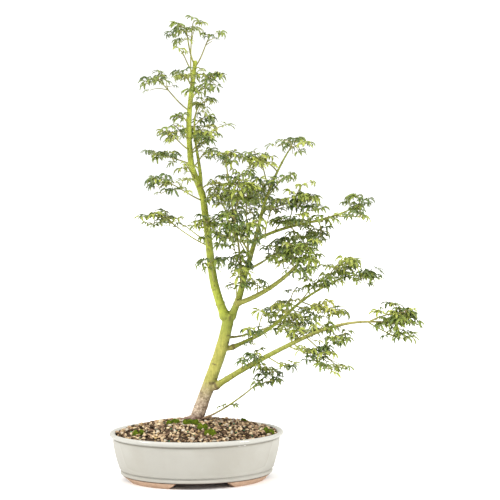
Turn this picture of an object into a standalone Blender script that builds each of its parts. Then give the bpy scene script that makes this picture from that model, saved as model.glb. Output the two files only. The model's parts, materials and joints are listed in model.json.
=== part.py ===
"""A Japanese maple grown as a bonsai, planted in a glazed oval pot with four clay feet.

Metres, +Z up. The pot's long axis is X and its front faces -Y. Everything is modelled round the
middle of the pot's underside, and the last step moves it all so that the origin is the centre of
the bounding box's base.
"""

import itertools
import math
import random

import bmesh
import bpy
from mathutils import Matrix, Vector
from mathutils.bvhtree import BVHTree

MM = 0.001
GAP = 0.3 * MM  # clearance between solids that touch

# Pot, in metres. Profiles give the half length; the half width follows from WIDTH_RATIO.
POT_HALF_LENGTH = 157.5 * MM
POT_HALF_WIDTH = 122.2 * MM
POT_HEIGHT = 87 * MM
POT_STEPS = 36
WIDTH_RATIO = POT_HALF_WIDTH / POT_HALF_LENGTH
WALL = 7 * MM
FOOT_HEIGHT = 10.5 * MM
LIP_HEIGHT = 11.5 * MM
LIP_OVERHANG = 5.2 * MM
BELLY_HEIGHT = 42 * MM
BELLY_INSET = 12 * MM
WAIST_HEIGHT = 26 * MM
WAIST_INSET = 18 * MM
BAND_HEIGHT = 15.5 * MM  # middle of the raised band round the foot of the wall
BAND_HALF = 4.5 * MM
BAND_INSET = 18.2 * MM
BASE_HALF_LENGTH = 133 * MM
DRAIN_RADIUS = 9 * MM
DRAIN_OFFSET = 58 * MM

# Feet: four arcs of an oval ring, given by the angles where each one starts and ends. Their
# ends slope, so the angles differ between the top and the sole.
FOOT_ANGLES_TOP = (math.radians(15), math.radians(66))
FOOT_ANGLES_SOLE = (math.radians(19), math.radians(61))
FOOT_TOP_HALF_LENGTH = 132.5 * MM
FOOT_SOLE_HALF_LENGTH = 125 * MM
FOOT_WIDTH = 22 * MM

# Soil
SOIL_EDGE = 85 * MM
SOIL_MOUND = 18 * MM
SOIL_FALL = 2.6
GROUND = SOIL_EDGE + SOIL_MOUND
SOIL_RINGS = 4

# Leaves: a five-lobed palmate blade on a short stalk
LEAF_LENGTH = 21 * MM
LEAF_THICKNESS = 1.4 * MM
BLADE_MIDDLE = 0.16
STALK_LENGTH = 10 * MM
STALK_RADIUS = 0.42 * MM
STALK_RISE = 0.4
LEAF_ROOM = 24 * MM  # how far a shoot ends inside its space, sideways and upwards
LEAF_HEADROOM = 8 * MM
SPACE_LIMIT = 1.2
LOBES = ((-98, 0.72), (-47, 0.98), (0, 1.0), (47, 0.98), (98, 0.72))  # degrees, share of length
NOTCHES = ((-72, 0.45), (-23, 0.50), (23, 0.50), (72, 0.45))
LOBE_DROOP = 0.5
NOTCH_DROOP = 0.1
TWIG_RADIUS = 1.25 * MM  # to the corners of a three-sided twig
STEM_RADIUS = 1.4 * MM
PAIR_PLACES = (0.62, 0.4, 0.8, 0.25)  # shares of a twig's length where further pairs start
LEAF_ATTEMPTS = 14
LEAF_PITCH = (8, 58)  # degrees
PAIR_STEPS = (0, 0.08, 0.14)  # how far back along a twig its end leaf and the two beside it start
GOLDEN_ANGLE = math.radians(137.5)
WELD_GRIDS = (0.0001 * MM, 0.001 * MM)
Z_AXIS = Vector((0, 0, 1))
FLAT_ENOUGH = math.radians(0.5)  # faces that a union left this nearly level become one

# Limbs: name, parent, start, reach, handle at the start, handle at the tip (all in mm), radius
# at the start and at the tip (mm), how early the taper comes, sides, rings.
LIMBS = (
    ("trunk", None, (-3, 24, 88), (62, -24, 211), (20, -8, 70), (8, -5, 70), 12.9, 10.4, 0.5, 12, 11),
    ("leader", "trunk", (56, 0, 283), (-56, 20, 472), (-35, 9, 151), (29, 0, 155), 8.3, 3.0, 0.7, 8, 20),
    ("right_stem", "trunk", (58, 0, 283), (112, 11, 310), (48, 2, 99), (61, 0, 93), 6.6, 1.4, 0.6, 8, 15),
    ("twin_shoot", "leader", (9, 13, 518), (-8, 18, 138), (5, 6, 46), (7, 4, 46), 3.6, 1.6, 0.8, 8, 8),
    ("inner_shoot", "right_stem", (80, -3, 347), (-27, -24, 204), (2, -10, 70), (-8, -9, 68), 2.3, 1.2, 0.8, 8, 9),
    ("bough_middle", "right_stem", (74, -4, 317), (99, -65, 73), (38, -22, 14), (26, -21, 31), 5.0, 3.2, 0.9, 8, 8),
    ("bough_upper", "right_stem", (109, 3, 431), (156, -50, 53), (48, -16, 30), (50, -17, 23), 3.5, 1.8, 0.8, 8, 9),
    ("bough_lower", "trunk", (54, 3, 233), (224, 19, 128), (87, 5, 18), (83, 5, 22), 4.2, 1.9, 0.8, 8, 12),
    ("bough_lowest", "trunk", (27, 10, 160), (295, -111, 129), (93, -36, 53), (115, -41, -8), 6.0, 1.9, 0.8, 8, 14),
    ("bough_back_low", "trunk", (54, 7, 255), (88, 49, 12), (30, 14, -4), (28, 16, 6), 3.2, 1.8, 0.8, 8, 6),
    ("bough_back_high", "right_stem", (95, -1, 388), (4, 58, 74), (2, 24, 16), (0, 16, 30), 2.6, 1.6, 0.8, 8, 6),
    ("bough_front", "right_stem", (100, 0, 402), (-27, -56, 35), (-6, -24, 6), (-10, -16, 16), 2.4, 1.5, 0.8, 8, 6),
    ("basal_shoot", "trunk", (10, 12, 106), (105, -20, 70), (30, -6, 8), (28, -4, 26), 1.5, 1.2, 0.8, 8, 8),
)

# Limbs that sway from side to side of their curve: how far (mm), and how many waves
SWAYS = {
    "leader": ((-7, 0, 0), 1.75),
    "right_stem": ((1.5, 2, 0), 2.5),
    "bough_lowest": ((0, 3, 1.5), 1.5),
    "bough_lower": ((0, 2, 1.5), 2),
}

# Roots that flare from the trunk's foot: bearing in degrees, length and radius in mm
SURFACE_ROOTS = ((195, 26, 6.5), (285, 19, 5.5), (100, 20, 5.5))

# Masses of foliage: name, limb, share of the limb's length where the stem leaves it, reach from
# there to the middle of the mass, half sizes of its space (all in mm), number of leaves.
MASSES = (
    ("crown_tip_left", "leader", 0.99, (-22, -2, 54), (36, 32, 30), 9),
    ("crown_tip_right", "leader", 0.98, (30, -6, 50), (28, 24, 22), 3),
    ("leader_high_left", "leader", 0.81, (-63, -4, 53), (46, 26, 24), 7),
    ("leader_high_right", "leader", 0.88, (30, 7, 24), (29, 26, 24), 6),
    ("leader_high_front", "leader", 0.90, (-12, -26, 14), (30, 26, 18), 5),
    ("twin_back", "twin_shoot", 0.80, (8, 30, -4), (36, 26, 24), 7),
    ("twin_tip", "twin_shoot", 1.0, (13, 3, 18), (27, 28, 27), 7),
    ("leader_mid_left", "leader", 0.66, (-38, -31, 26), (29, 24, 18), 5),
    ("twin_right", "twin_shoot", 0.59, (29, -18, 10), (29, 26, 23), 7),
    ("leader_left_pair", "leader", 0.61, (-46, 21, 13), (42, 26, 19), 6),
    ("leader_low_left", "leader", 0.47, (-56, -31, 30), (50, 26, 23), 8),
    ("leader_lowest_left", "leader", 0.30, (-70, 23, 46), (60, 28, 26), 9),
    ("leader_front", "leader", 0.35, (-6, -47, 17), (25, 22, 23), 5),
    ("leader_right", "leader", 0.51, (23, -33, 10), (20, 18, 16), 4),
    ("crown_left", "inner_shoot", 1.0, (1, 0, 23), (30, 28, 23), 7),
    ("crown_peak", "right_stem", 1.0, (2, 0, 9), (46, 30, 24), 8),
    ("crown_upper", "right_stem", 0.87, (-35, 3, 20), (35, 32, 24), 8),
    ("crown_mid_left", "inner_shoot", 0.77, (-17, 11, 5), (27, 30, 32), 8),
    ("crown_mid_front", "inner_shoot", 0.66, (9, -41, 36), (34, 28, 32), 9),
    ("crown_mid_right", "right_stem", 0.80, (-16, -18, -6), (31, 28, 25), 8),
    ("crown_back", "bough_back_high", 1.0, (2, 15, 31), (52, 34, 48), 12),
    ("crown_low_front", "bough_front", 1.0, (-8, -19, 14), (50, 32, 32), 12),
    ("stem_tuft", "right_stem", 0.28, (-14, -33, 24), (25, 22, 27), 5),
    ("right_fan", "right_stem", 0.64, (70, -55, 20), (39, 28, 21), 9),
    ("upper_inner", "bough_upper", 0.31, (10, -36, 13), (36, 28, 18), 7),
    ("upper_outer", "bough_upper", 0.68, (4, 21, -29), (29, 28, 27), 7),
    ("upper_tip", "bough_upper", 1.0, (23, -3, 6), (30, 30, 27), 8),
    ("middle_tip", "bough_middle", 1.0, (6, -6, 21), (42, 34, 32), 11),
    ("middle_back", "right_stem", 0.33, (70, 24, 28), (44, 32, 31), 10),
    ("lower_inner", "bough_lower", 0.23, (-7, -16, 4), (25, 24, 25), 6),
    ("lower_mid", "bough_lower", 0.48, (-12, -38, 20), (36, 26, 23), 7),
    ("lower_outer", "bough_lower", 0.58, (44, -31, -3), (43, 28, 22), 8),
    ("lower_high", "bough_lower", 0.84, (24, -6, 26), (42, 30, 28), 9),
    ("lower_tip", "bough_lower", 1.0, (38, 10, 2), (36, 28, 24), 7),
    ("lowest_inner", "bough_lowest", 0.28, (-3, -10, 10), (29, 24, 20), 5),
    ("lowest_upper", "bough_lowest", 0.49, (29, 5, 19), (47, 28, 22), 8),
    ("lowest_hanging", "bough_lowest", 0.48, (46, -37, -10), (48, 30, 28), 9),
    ("lowest_tip", "bough_lowest", 1.0, (26, -4, 3), (50, 34, 36), 12),
    ("basal_tip", "basal_shoot", 1.0, (20, -3, 17), (34, 24, 32), 7),
    ("back_low", "bough_back_low", 1.0, (44, 14, 9), (52, 34, 34), 11),
)


def clear_scene():
    for obj in list(bpy.data.objects):
        bpy.data.objects.remove(obj, do_unlink=True)


def new_collection(name):
    collection = bpy.data.collections.new(name)
    bpy.context.scene.collection.children.link(collection)
    return collection


def make_material(name, colour, roughness):
    material = bpy.data.materials.new(name)
    material.use_nodes = True
    shader = material.node_tree.nodes["Principled BSDF"]
    shader.inputs["Base Color"].default_value = (*colour, 1)
    shader.inputs["Roughness"].default_value = roughness
    material.diffuse_color = (*colour, 1)
    return material


def add_mesh_object(name, mesh, collection, material=None):
    obj = bpy.data.objects.new(name, mesh)
    collection.objects.link(obj)
    if material:
        mesh.materials.clear()
        mesh.materials.append(material)
    return obj


def evaluated_mesh(obj):
    """A new mesh of the object as its modifiers leave it, in the object's own space."""
    bpy.context.view_layer.update()
    graph = bpy.context.evaluated_depsgraph_get()
    return bpy.data.meshes.new_from_object(obj.evaluated_get(graph))


def polygons_of(mesh, matrix=None):
    """Vertices and faces as plain lists, for a tree of triangles."""
    points = [matrix @ v.co if matrix else v.co.copy() for v in mesh.vertices]
    return points, [tuple(p.vertices) for p in mesh.polygons]


# --- Pot, feet and soil ------------------------------------------------------------------------


def turned(name, profile, collection, material):
    """An oval solid: the profile is turned about Z and narrowed along Y."""
    mesh = bpy.data.meshes.new(name)
    points = [(radius, 0, height) for radius, height in profile]
    mesh.from_pydata(points, [(i, i + 1) for i in range(len(points) - 1)], [])
    obj = add_mesh_object(name, mesh, collection, material)
    screw = obj.modifiers.new("turn", "SCREW")
    screw.axis = "Z"
    screw.steps = POT_STEPS
    screw.render_steps = POT_STEPS
    screw.use_merge_vertices = True
    screw.merge_threshold = 0.0001
    screw.use_smooth_shade = True
    obj.scale = (1, WIDTH_RATIO, 1)
    return obj


def inner_wall(height):
    """Half length of the pot's inside at a height above the ground."""
    low, high = FOOT_HEIGHT + 2 * WALL, POT_HEIGHT
    low_radius = BASE_HALF_LENGTH - 2 * MM
    high_radius = POT_HALF_LENGTH - 9 * MM
    return low_radius + (high_radius - low_radius) * (height - low) / (high - low)


def pot_profile():
    floor = FOOT_HEIGHT + WALL
    lip_low = POT_HEIGHT - LIP_HEIGHT
    edge = POT_HALF_LENGTH
    return (
        (0, floor),
        (inner_wall(floor) - 6 * MM, floor),
        (inner_wall(floor + WALL), floor + WALL),
        (inner_wall(SOIL_EDGE), SOIL_EDGE),
        (edge - 6 * MM, POT_HEIGHT),
        (edge - 1.2 * MM, POT_HEIGHT - 2 * MM),
        (edge, POT_HEIGHT - LIP_HEIGHT / 2),
        (edge - 1.8 * MM, lip_low + 1.5 * MM),
        (edge - LIP_OVERHANG, lip_low),
        (edge - BELLY_INSET, BELLY_HEIGHT),
        (edge - WAIST_INSET, WAIST_HEIGHT),
        (edge - BAND_INSET - 1.5 * MM, BAND_HEIGHT + BAND_HALF),
        (edge - BAND_INSET, BAND_HEIGHT),
        (BASE_HALF_LENGTH, FOOT_HEIGHT + GAP),
        (0, FOOT_HEIGHT + GAP),
    )


def make_pot(parts, cutters, glaze):
    pot = turned("pot", pot_profile(), parts, glaze)
    for side in (-1, 1):
        mesh = bpy.data.meshes.new("drain_hole")
        shape = bmesh.new()
        bmesh.ops.create_cone(
            shape, cap_ends=True, segments=16, radius1=DRAIN_RADIUS, radius2=DRAIN_RADIUS, depth=4 * WALL
        )
        shape.to_mesh(mesh)
        shape.free()
        hole = add_mesh_object(f"drain_hole_{side}", mesh, cutters)
        hole.location = (side * DRAIN_OFFSET, 0, FOOT_HEIGHT + WALL / 2)
        cut = pot.modifiers.new("drain", "BOOLEAN")
        cut.operation = "DIFFERENCE"
        cut.object = hole
    return pot


def make_foot(name, flip_x, flip_y, parts, cutters, clay):
    """One foot: a turned ring with sloping sides, of which a wedge-shaped block keeps one arc."""
    sole, top = FOOT_SOLE_HALF_LENGTH, FOOT_TOP_HALF_LENGTH
    profile = (
        (top - FOOT_WIDTH, FOOT_HEIGHT),
        (top, FOOT_HEIGHT),
        (sole, 0),
        (sole - FOOT_WIDTH + 6 * MM, 0),
        (top - FOOT_WIDTH, FOOT_HEIGHT),
    )
    foot = turned(name, profile, parts, clay)
    corners = []
    for height, angles in ((-2 * MM, FOOT_ANGLES_SOLE), (FOOT_HEIGHT + 2 * MM, FOOT_ANGLES_TOP)):
        for angle in angles:
            for reach in (0.5, 1.3):
                x = flip_x * reach * FOOT_TOP_HALF_LENGTH * math.cos(angle)
                y = flip_y * reach * FOOT_TOP_HALF_LENGTH * WIDTH_RATIO * math.sin(angle)
                corners.append((x, y, height))
    shape = bmesh.new()
    for corner in corners:
        shape.verts.new(corner)
    bmesh.ops.convex_hull(shape, input=shape.verts)
    bmesh.ops.recalc_face_normals(shape, faces=shape.faces)
    mesh = bpy.data.meshes.new(name + "_block")
    shape.to_mesh(mesh)
    shape.free()
    block = add_mesh_object(name + "_block", mesh, cutters)
    keep = foot.modifiers.new("arc", "BOOLEAN")
    keep.operation = "INTERSECT"
    keep.object = block
    return foot


def soil_height(x, y):
    """The mound's height above the ground plane, highest under the tree."""
    reach = inner_wall(SOIL_EDGE)
    share = min(1.0, math.hypot(x, y / WIDTH_RATIO) / reach)
    return SOIL_EDGE + SOIL_MOUND * (1 - share**SOIL_FALL)


def make_soil(parts, earth):
    side_gap = 1.4 * GAP
    floor = FOOT_HEIGHT + WALL + GAP
    edge = inner_wall(SOIL_EDGE) - side_gap
    rings = [(edge * i / SOIL_RINGS, SOIL_EDGE) for i in range(SOIL_RINGS + 1)]
    wall = (inner_wall(floor + WALL) - side_gap, floor + WALL)
    corner = (inner_wall(floor) - 6 * MM - side_gap, floor)
    soil = turned("soil", (*rings, wall, corner, (0, floor)), parts, earth)
    mesh = evaluated_mesh(soil)
    for vertex in mesh.vertices:
        if vertex.co.z > SOIL_EDGE - GAP:
            vertex.co.z = soil_height(vertex.co.x, vertex.co.y * WIDTH_RATIO)
    soil.modifiers.clear()
    soil.data = mesh
    return soil


# --- Limbs -------------------------------------------------------------------------------------


class Limb:
    """A tapering limb along a Bezier curve, which may sway from side to side."""

    def __init__(self, name, parent, start, reach, lead_out, lead_in, base, tip, taper, sides, rings):
        start = Vector(start) * MM
        end = start + Vector(reach) * MM
        self.name = name
        self.parent = parent
        self.points = (start, start + Vector(lead_out) * MM, end - Vector(lead_in) * MM, end)
        self.base, self.tip, self.taper = base * MM, tip * MM, taper
        self.sides, self.rings = sides, rings
        sway, self.waves = SWAYS.get(name, ((0, 0, 0), 0))
        self.sway = Vector(sway) * MM

    def at(self, t):
        a, b, c, d = self.points
        u = 1 - t
        swing = math.sin(2 * math.pi * self.waves * t) * math.sqrt(max(0, u))
        return a * u**3 + b * (3 * u * u * t) + c * (3 * u * t * t) + d * t**3 + self.sway * swing

    def along(self, t):
        return (self.at(min(1, t + 0.01)) - self.at(max(0, t - 0.01))).normalized()

    def radius(self, t):
        return self.base + (self.tip - self.base) * t**self.taper


def tube(name, points, radii, sides, collection, material, section=None):
    """A tapering tube along the points: a bevelled curve made a mesh, with its caps welded."""
    curve = bpy.data.curves.new(name, "CURVE")
    curve.dimensions = "3D"
    curve.use_fill_caps = True
    if section:
        curve.bevel_mode = "OBJECT"
        curve.bevel_object = section
    else:
        curve.bevel_depth = 1.0
        curve.bevel_resolution = (sides - 4) // 2
    spline = curve.splines.new("POLY")
    spline.points.add(len(points) - 1)
    for item, point, radius in zip(spline.points, points, radii):
        item.co = (*point, 1)
        item.radius = radius
    guide = bpy.data.objects.new(name, curve)
    collection.objects.link(guide)
    mesh = evaluated_mesh(guide)
    bpy.data.objects.remove(guide, do_unlink=True)
    bpy.data.curves.remove(curve)
    weld(mesh)
    return add_mesh_object(name, mesh, collection, material)


def weld(mesh):
    shape = bmesh.new()
    shape.from_mesh(mesh)
    bmesh.ops.remove_doubles(shape, verts=shape.verts, dist=0.00001)
    bmesh.ops.recalc_face_normals(shape, faces=shape.faces)
    shape.to_mesh(mesh)
    shape.free()


def limb_tube(limb, name, extra, collection, material=None):
    """The limb as a mesh, made thicker all round by extra."""
    shares = [i / (limb.rings - 1) for i in range(limb.rings)]
    points = [limb.at(t) for t in shares]
    radii = [limb.radius(t) + extra for t in shares]
    obj = tube(name, points, radii, limb.sides, collection, material)
    if limb.parent is None:
        add_surface_roots(obj, limb, extra)
    return obj


def add_surface_roots(trunk, limb, extra):
    """Short roots that flare from the trunk's foot and run out over the soil."""
    roots = new_collection("roots")
    foot = limb.at(0.1)
    for turn, length, radius in SURFACE_ROOTS:
        angle = math.radians(turn)
        out = Vector((math.cos(angle), math.sin(angle), 0))
        start = Vector((foot.x, foot.y, GROUND + 12 * MM))
        middle = start + out * 10 * MM - Z_AXIS * 9 * MM
        end = start + out * length * MM - Z_AXIS * 16 * MM
        radii = [share * radius * MM + extra for share in (1, 0.85, 0.3)]
        tube("root", [start, middle, end], radii, 8, roots, None)
    join_all(trunk, roots)


def apply_modifiers(obj):
    """Makes the object's own mesh the one that its modifiers give, and clears them."""
    mesh = evaluated_mesh(obj)
    obj.modifiers.clear()
    old = obj.data
    obj.data = mesh
    bpy.data.meshes.remove(old)


def empty_collection(collection):
    for obj in list(collection.objects):
        spare = obj.data
        bpy.data.objects.remove(obj, do_unlink=True)
        bpy.data.meshes.remove(spare)
    bpy.data.collections.remove(collection)


def join_all(first, collection, solver="MANIFOLD"):
    """One Boolean union of an object with everything in a collection, whose objects then go."""
    join = first.modifiers.new("join", "BOOLEAN")
    join.operation = "UNION"
    join.operand_type = "COLLECTION"
    join.collection = collection
    join.solver = solver
    apply_modifiers(first)
    empty_collection(collection)


def cut_flat_below(obj, height):
    """Cuts a mesh off level at a height and closes the cut."""
    shape = bmesh.new()
    shape.from_mesh(obj.data)
    every = shape.verts[:] + shape.edges[:] + shape.faces[:]
    cut = bmesh.ops.bisect_plane(
        shape, geom=every, plane_co=(0, 0, height), plane_no=(0, 0, 1), clear_inner=True
    )
    rim = [e for e in cut["geom_cut"] if isinstance(e, bmesh.types.BMEdge)]
    bmesh.ops.edgeloop_fill(shape, edges=rim)
    bmesh.ops.triangulate(shape, faces=shape.faces)
    bmesh.ops.recalc_face_normals(shape, faces=shape.faces)
    shape.to_mesh(obj.data)
    shape.free()


def make_limbs(parts, bark):
    """Every limb, cut clear of the limb that it leaves. The fork's two stems also clear each other."""
    limbs, objects = {}, {}
    for row in LIMBS:
        limb = Limb(*row)
        limbs[limb.name] = limb
        obj = limb_tube(limb, limb.name, 0, parts, bark)
        if limb.parent is None:
            cut_flat_below(obj, GROUND + GAP)
        else:
            neighbours = [limb.parent, "leader"] if limb.name == "right_stem" else [limb.parent]
            cut_clear_of(obj, [limbs[name] for name in neighbours])
        obj.data.shade_smooth()
        objects[limb.name] = obj
    return limbs, objects


def cut_clear_of(obj, neighbours):
    """Takes the neighbours, made wider by the gap, out of a limb."""
    cutters = new_collection("limb_cutters")
    for limb in neighbours:
        cut = obj.modifiers.new(f"clear of {limb.name}", "BOOLEAN")
        cut.operation = "DIFFERENCE"
        cut.solver = "MANIFOLD"
        cut.object = limb_tube(limb, f"wide_{limb.name}", GAP, cutters)
    apply_modifiers(obj)
    keep_largest(obj)
    empty_collection(cutters)


# --- Foliage -----------------------------------------------------------------------------------


class Space:
    """The egg-shaped room that one mass keeps to."""

    def __init__(self, centre, half):
        self.centre, self.half = centre, half

    def share(self, point):
        away = point - self.centre
        return math.sqrt(sum((away[i] / self.half[i]) ** 2 for i in range(3)))

    def towards(self, direction):
        """Where a shoot may end in a direction, so that a leaf at its end still has room."""
        room = (LEAF_ROOM, LEAF_ROOM, LEAF_HEADROOM)
        inner = [max(0.15 * h, h - r) for h, r in zip(self.half, room)]
        direction = direction.normalized()
        return self.centre + Vector(direction[i] * inner[i] for i in range(3))


def point_on(points, share):
    """The point and heading at a share of a path's segments."""
    place = share * (len(points) - 1)
    index = min(int(place), len(points) - 2)
    heading = (points[index + 1] - points[index]).normalized()
    return points[index].lerp(points[index + 1], place - index), heading


def leaf_points(root, heading, pitch, roll, size):
    """Corners of one palmate leaf. Its stalk leaves root along heading and its blade tips over by pitch."""
    level = heading.cross(Z_AXIS).normalized()
    stalk = (heading + level.cross(heading) * STALK_RISE).normalized()
    forward = (heading * math.cos(pitch) - Z_AXIS * math.sin(pitch)).normalized()
    tilted = level * math.cos(roll) + Z_AXIS * math.sin(roll)
    normal = tilted.cross(forward).normalized()
    side = forward.cross(normal)
    length = LEAF_LENGTH * size
    joint = root + stalk * STALK_LENGTH * size
    middle = joint + forward * length * BLADE_MIDDLE

    def corner(degrees, share, droop):
        angle = math.radians(degrees)
        flat = forward * math.cos(angle) + side * math.sin(angle)
        return joint + flat * length * share - normal * length * droop * share * share

    ring = []
    for i, lobe in enumerate(LOBES):
        ring.append(corner(*lobe, LOBE_DROOP))
        if i < len(NOTCHES):
            ring.append(corner(*NOTCHES[i], NOTCH_DROOP))
    faces_at = [middle + normal * LEAF_THICKNESS / 2, middle - normal * LEAF_THICKNESS / 2]
    across = stalk.cross(normal).normalized()
    below = across.cross(stalk)
    if below.dot(normal) > 0:
        below = -below
    outline = [-across, across, below * 1.4]
    collar = [joint + p * STALK_RADIUS * 1.2 for p in outline]
    foot = [root + p * STALK_RADIUS for p in outline]
    return ring + faces_at + collar + foot


def leaf_faces():
    """Faces for leaf_points: two fans, their fold round the stalk's collar, and the stalk."""
    ring = len(LOBES) + len(NOTCHES)
    last = ring - 1
    top, bottom, left, right, under, foot_left, foot_right, foot_under = range(ring, ring + 8)
    faces = []
    for i in range(last):
        faces.append((i, i + 1, top))
        faces.append((i + 1, i, bottom))
    faces += [(last, right, top), (right, left, top), (left, 0, top)]
    faces += [(0, left, bottom), (left, under, bottom), (under, right, bottom), (right, last, bottom)]
    faces += [(left, right, foot_right, foot_left), (under, left, foot_left, foot_under)]
    faces += [(right, under, foot_under, foot_right), (foot_left, foot_right, foot_under)]
    return faces


LEAF_FACES = leaf_faces()
BLADE_FACES = [f for f in LEAF_FACES if max(f) < len(LOBES) + len(NOTCHES) + 5]


def grown(points, faces, by):
    """The same closed shape with every corner moved out by a little, for a test with clearance."""
    normals = [Vector() for _ in points]
    for face in faces:
        a, b, c = (points[i] for i in face[:3])
        normal = (b - a).cross(c - a)
        for i in face:
            normals[i] += normal
    return [p + n.normalized() * by for p, n in zip(points, normals)]


def leaf_object(points, collection):
    shape = bmesh.new()
    corners = [shape.verts.new(p) for p in points]
    for face in LEAF_FACES:
        shape.faces.new([corners[i] for i in face])
    bmesh.ops.recalc_face_normals(shape, faces=shape.faces)
    mesh = bpy.data.meshes.new("leaf")
    shape.to_mesh(mesh)
    shape.free()
    return add_mesh_object("leaf", mesh, collection)


def stem_path(limb, share, space):
    """The way from a limb, clear of it, into the space of a mass."""
    axis, along = limb.at(share), limb.along(share)
    reach = space.centre - axis
    if share >= 1.0:
        root, leave = axis + along * GAP * 1.5, along
    else:
        climb = reach.dot(along)
        away = reach - along * climb
        steepness = min(max(0.5, 0.8 * climb / away.length), 2)
        away.normalize()
        leave = (away + along * steepness).normalized()
        lean = math.sqrt(max(0.0, 1 - leave.dot(away) ** 2))
        root = axis + away * (limb.radius(share) + GAP + STEM_RADIUS * lean)
    tip = space.towards(space.centre - root)
    bend = root + leave * 0.35 * (tip - root).length
    return [root, root.lerp(bend, 0.7), bend.lerp(tip, 0.45), tip]


def twig_shape(path, radii, section, collection):
    """A twig's points and faces, for a test."""
    obj = tube("trial", path, radii, 3, collection, None, section)
    shape = polygons_of(obj.data)
    bpy.data.meshes.remove(obj.data)
    return shape


def plan_shoots(name, limb, share, space, count, rng, obstacles, section, collection):
    """The stem and the twigs that part from it, as (path, radii), with the shape of each."""
    stem_radii = [STEM_RADIUS * (1 - 0.05 * i) for i in range(4)]
    twig_radii = [TWIG_RADIUS, 0.9 * TWIG_RADIUS]
    for slide in (0, 0.02, -0.02, 0.04, -0.04, 0.06, -0.06, 0.08, -0.08):
        stem = stem_path(limb, share if share >= 1.0 else share + slide, space)
        shape = twig_shape(stem, stem_radii, section, collection)
        if not obstacles.overlap(BVHTree.FromPolygons(*shape)):
            break
    else:
        print(f"{name}: its stem touches something")
    shoots, shapes = [(stem, stem_radii)], [shape]
    first_turn = rng.uniform(0, 2 * math.pi)
    for j in range(count):
        turn = first_turn + j * GOLDEN_ANGLE
        height = -0.5 + 1.45 * (j + 0.5) / count
        flat = math.sqrt(1 - height * height)
        target = space.towards(Vector((flat * math.cos(turn), flat * math.sin(turn), height)))
        start, _ = point_on(stem, 0.55 + 0.35 * (j % 3) / 2)
        path = [start, target]
        shape = twig_shape(path, twig_radii, section, collection)
        if not obstacles.overlap(BVHTree.FromPolygons(*shape)):
            shoots.append((path, twig_radii))
            shapes.append(shape)
    return shoots, merged_tree(shapes)


def plan_leaves(shoots, space, count, rng, obstacles, twigs):
    """Corners of the leaves: one at the end of each shoot, then opposite pairs back along them."""
    slots = [(path, 0.96, turn) for turn in (0, 62, -62) for path in shoots]
    slots += [(path, place, turn) for place in PAIR_PLACES for path in shoots for turn in (75, -75)]
    placed = []
    for path, place, turn in slots:
        if len(placed) >= count:
            break
        start, heading = point_on(path, place - PAIR_STEPS[(turn > 0) - (turn < 0)])
        for attempt in range(LEAF_ATTEMPTS):
            swing = rng.uniform(-1, 1) * (10 + 9 * attempt)
            pitch, roll = math.radians(rng.uniform(*LEAF_PITCH)), rng.uniform(-0.4, 0.4)
            spin = Matrix.Rotation(math.radians(turn + swing), 3, "Z")
            level = spin @ Vector((heading.x, heading.y, 0.35 * heading.z))
            points = leaf_points(start, level.normalized(), pitch, roll, rng.uniform(0.88, 1.08))
            if fits(points, space, obstacles, twigs, placed):
                placed.append(points)
                break
    return placed


def grow_mass(number, row, limbs, obstacles, section, parts, leaf_material):
    """One mass: a stem, twigs that part from it and leaves, joined into one solid."""
    name, limb_name, share, reach, half, leaves = row
    rng = random.Random(number)
    limb = limbs[limb_name]
    space = Space(limb.at(share) + Vector(reach) * MM, Vector(half) * MM)
    trial = new_collection(name + "_trial")
    count = max(1, round(leaves / 3) - 1)
    shoots, twigs = plan_shoots(name, limb, share, space, count, rng, obstacles, section, trial)
    empty_collection(trial)
    paths = [path for path, _ in shoots]
    placed = plan_leaves(paths, space, leaves, rng, obstacles, twigs)
    mass = fuse(name, shoots[0], shoots[1:], placed, section, parts, leaf_material)
    return mass, len(placed)


def fits(points, space, obstacles, twigs, placed):
    """Whether a leaf stays in its space, clear of every limb, other mass, leaf and twig."""
    if max(space.share(p) for p in points) > SPACE_LIMIT:
        return False
    wide = grown(points, LEAF_FACES, 0.5 * MM)
    if obstacles.overlap(BVHTree.FromPolygons(wide, LEAF_FACES)):
        return False
    blade = BVHTree.FromPolygons(wide, BLADE_FACES)
    if twigs.overlap(blade):
        return False
    whole = BVHTree.FromPolygons(points, LEAF_FACES)
    for other in placed:
        if (other[0] - points[0]).length > 4 * LEAF_LENGTH:
            continue
        if blade.overlap(BVHTree.FromPolygons(other, LEAF_FACES)):
            return False
        if whole.overlap(BVHTree.FromPolygons(other, BLADE_FACES)):
            return False
    return True


def loose_pieces(shape):
    """The faces of each piece of a bmesh that hangs together by its edges, smallest piece first."""
    groups, seen = [], set()
    for face in shape.faces:
        if face in seen:
            continue
        group, front = [], [face]
        seen.add(face)
        while front:
            here = front.pop()
            group.append(here)
            for edge in here.edges:
                for other in edge.link_faces:
                    if other not in seen:
                        seen.add(other)
                        front.append(other)
        groups.append(group)
    return sorted(groups, key=len)


def keep_largest(obj, flatten=False):
    """Drops loose scraps and sealed hollows, and makes nearly level faces one, if asked."""
    shape = bmesh.new()
    shape.from_mesh(obj.data)
    if flatten:
        bmesh.ops.dissolve_limit(
            shape, angle_limit=FLAT_ENOUGH, verts=shape.verts, edges=shape.edges, delimit=set()
        )
    bmesh.ops.triangulate(shape, faces=shape.faces)
    for group in loose_pieces(shape)[:-1]:
        bmesh.ops.delete(shape, geom=group, context="FACES")
    shape.to_mesh(obj.data)
    shape.free()


def sound(mesh):
    """Whether a mesh stays closed, and one body, when points that nearly coincide are made one."""
    for grid, offset in itertools.product(WELD_GRIDS, (0, 0.5)):
        place = [tuple(round(value / grid + offset) for value in v.co) for v in mesh.vertices]
        uses = {}
        for number, face in enumerate(mesh.polygons):
            ring = [place[i] for i in face.vertices]
            if len(set(ring)) < 3:
                continue
            for edge in zip(ring, ring[1:] + ring[:1]):
                uses.setdefault(frozenset(edge), []).append(number)
        if any(len(faces) != 2 for faces in uses.values()):
            return False
    return True


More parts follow.
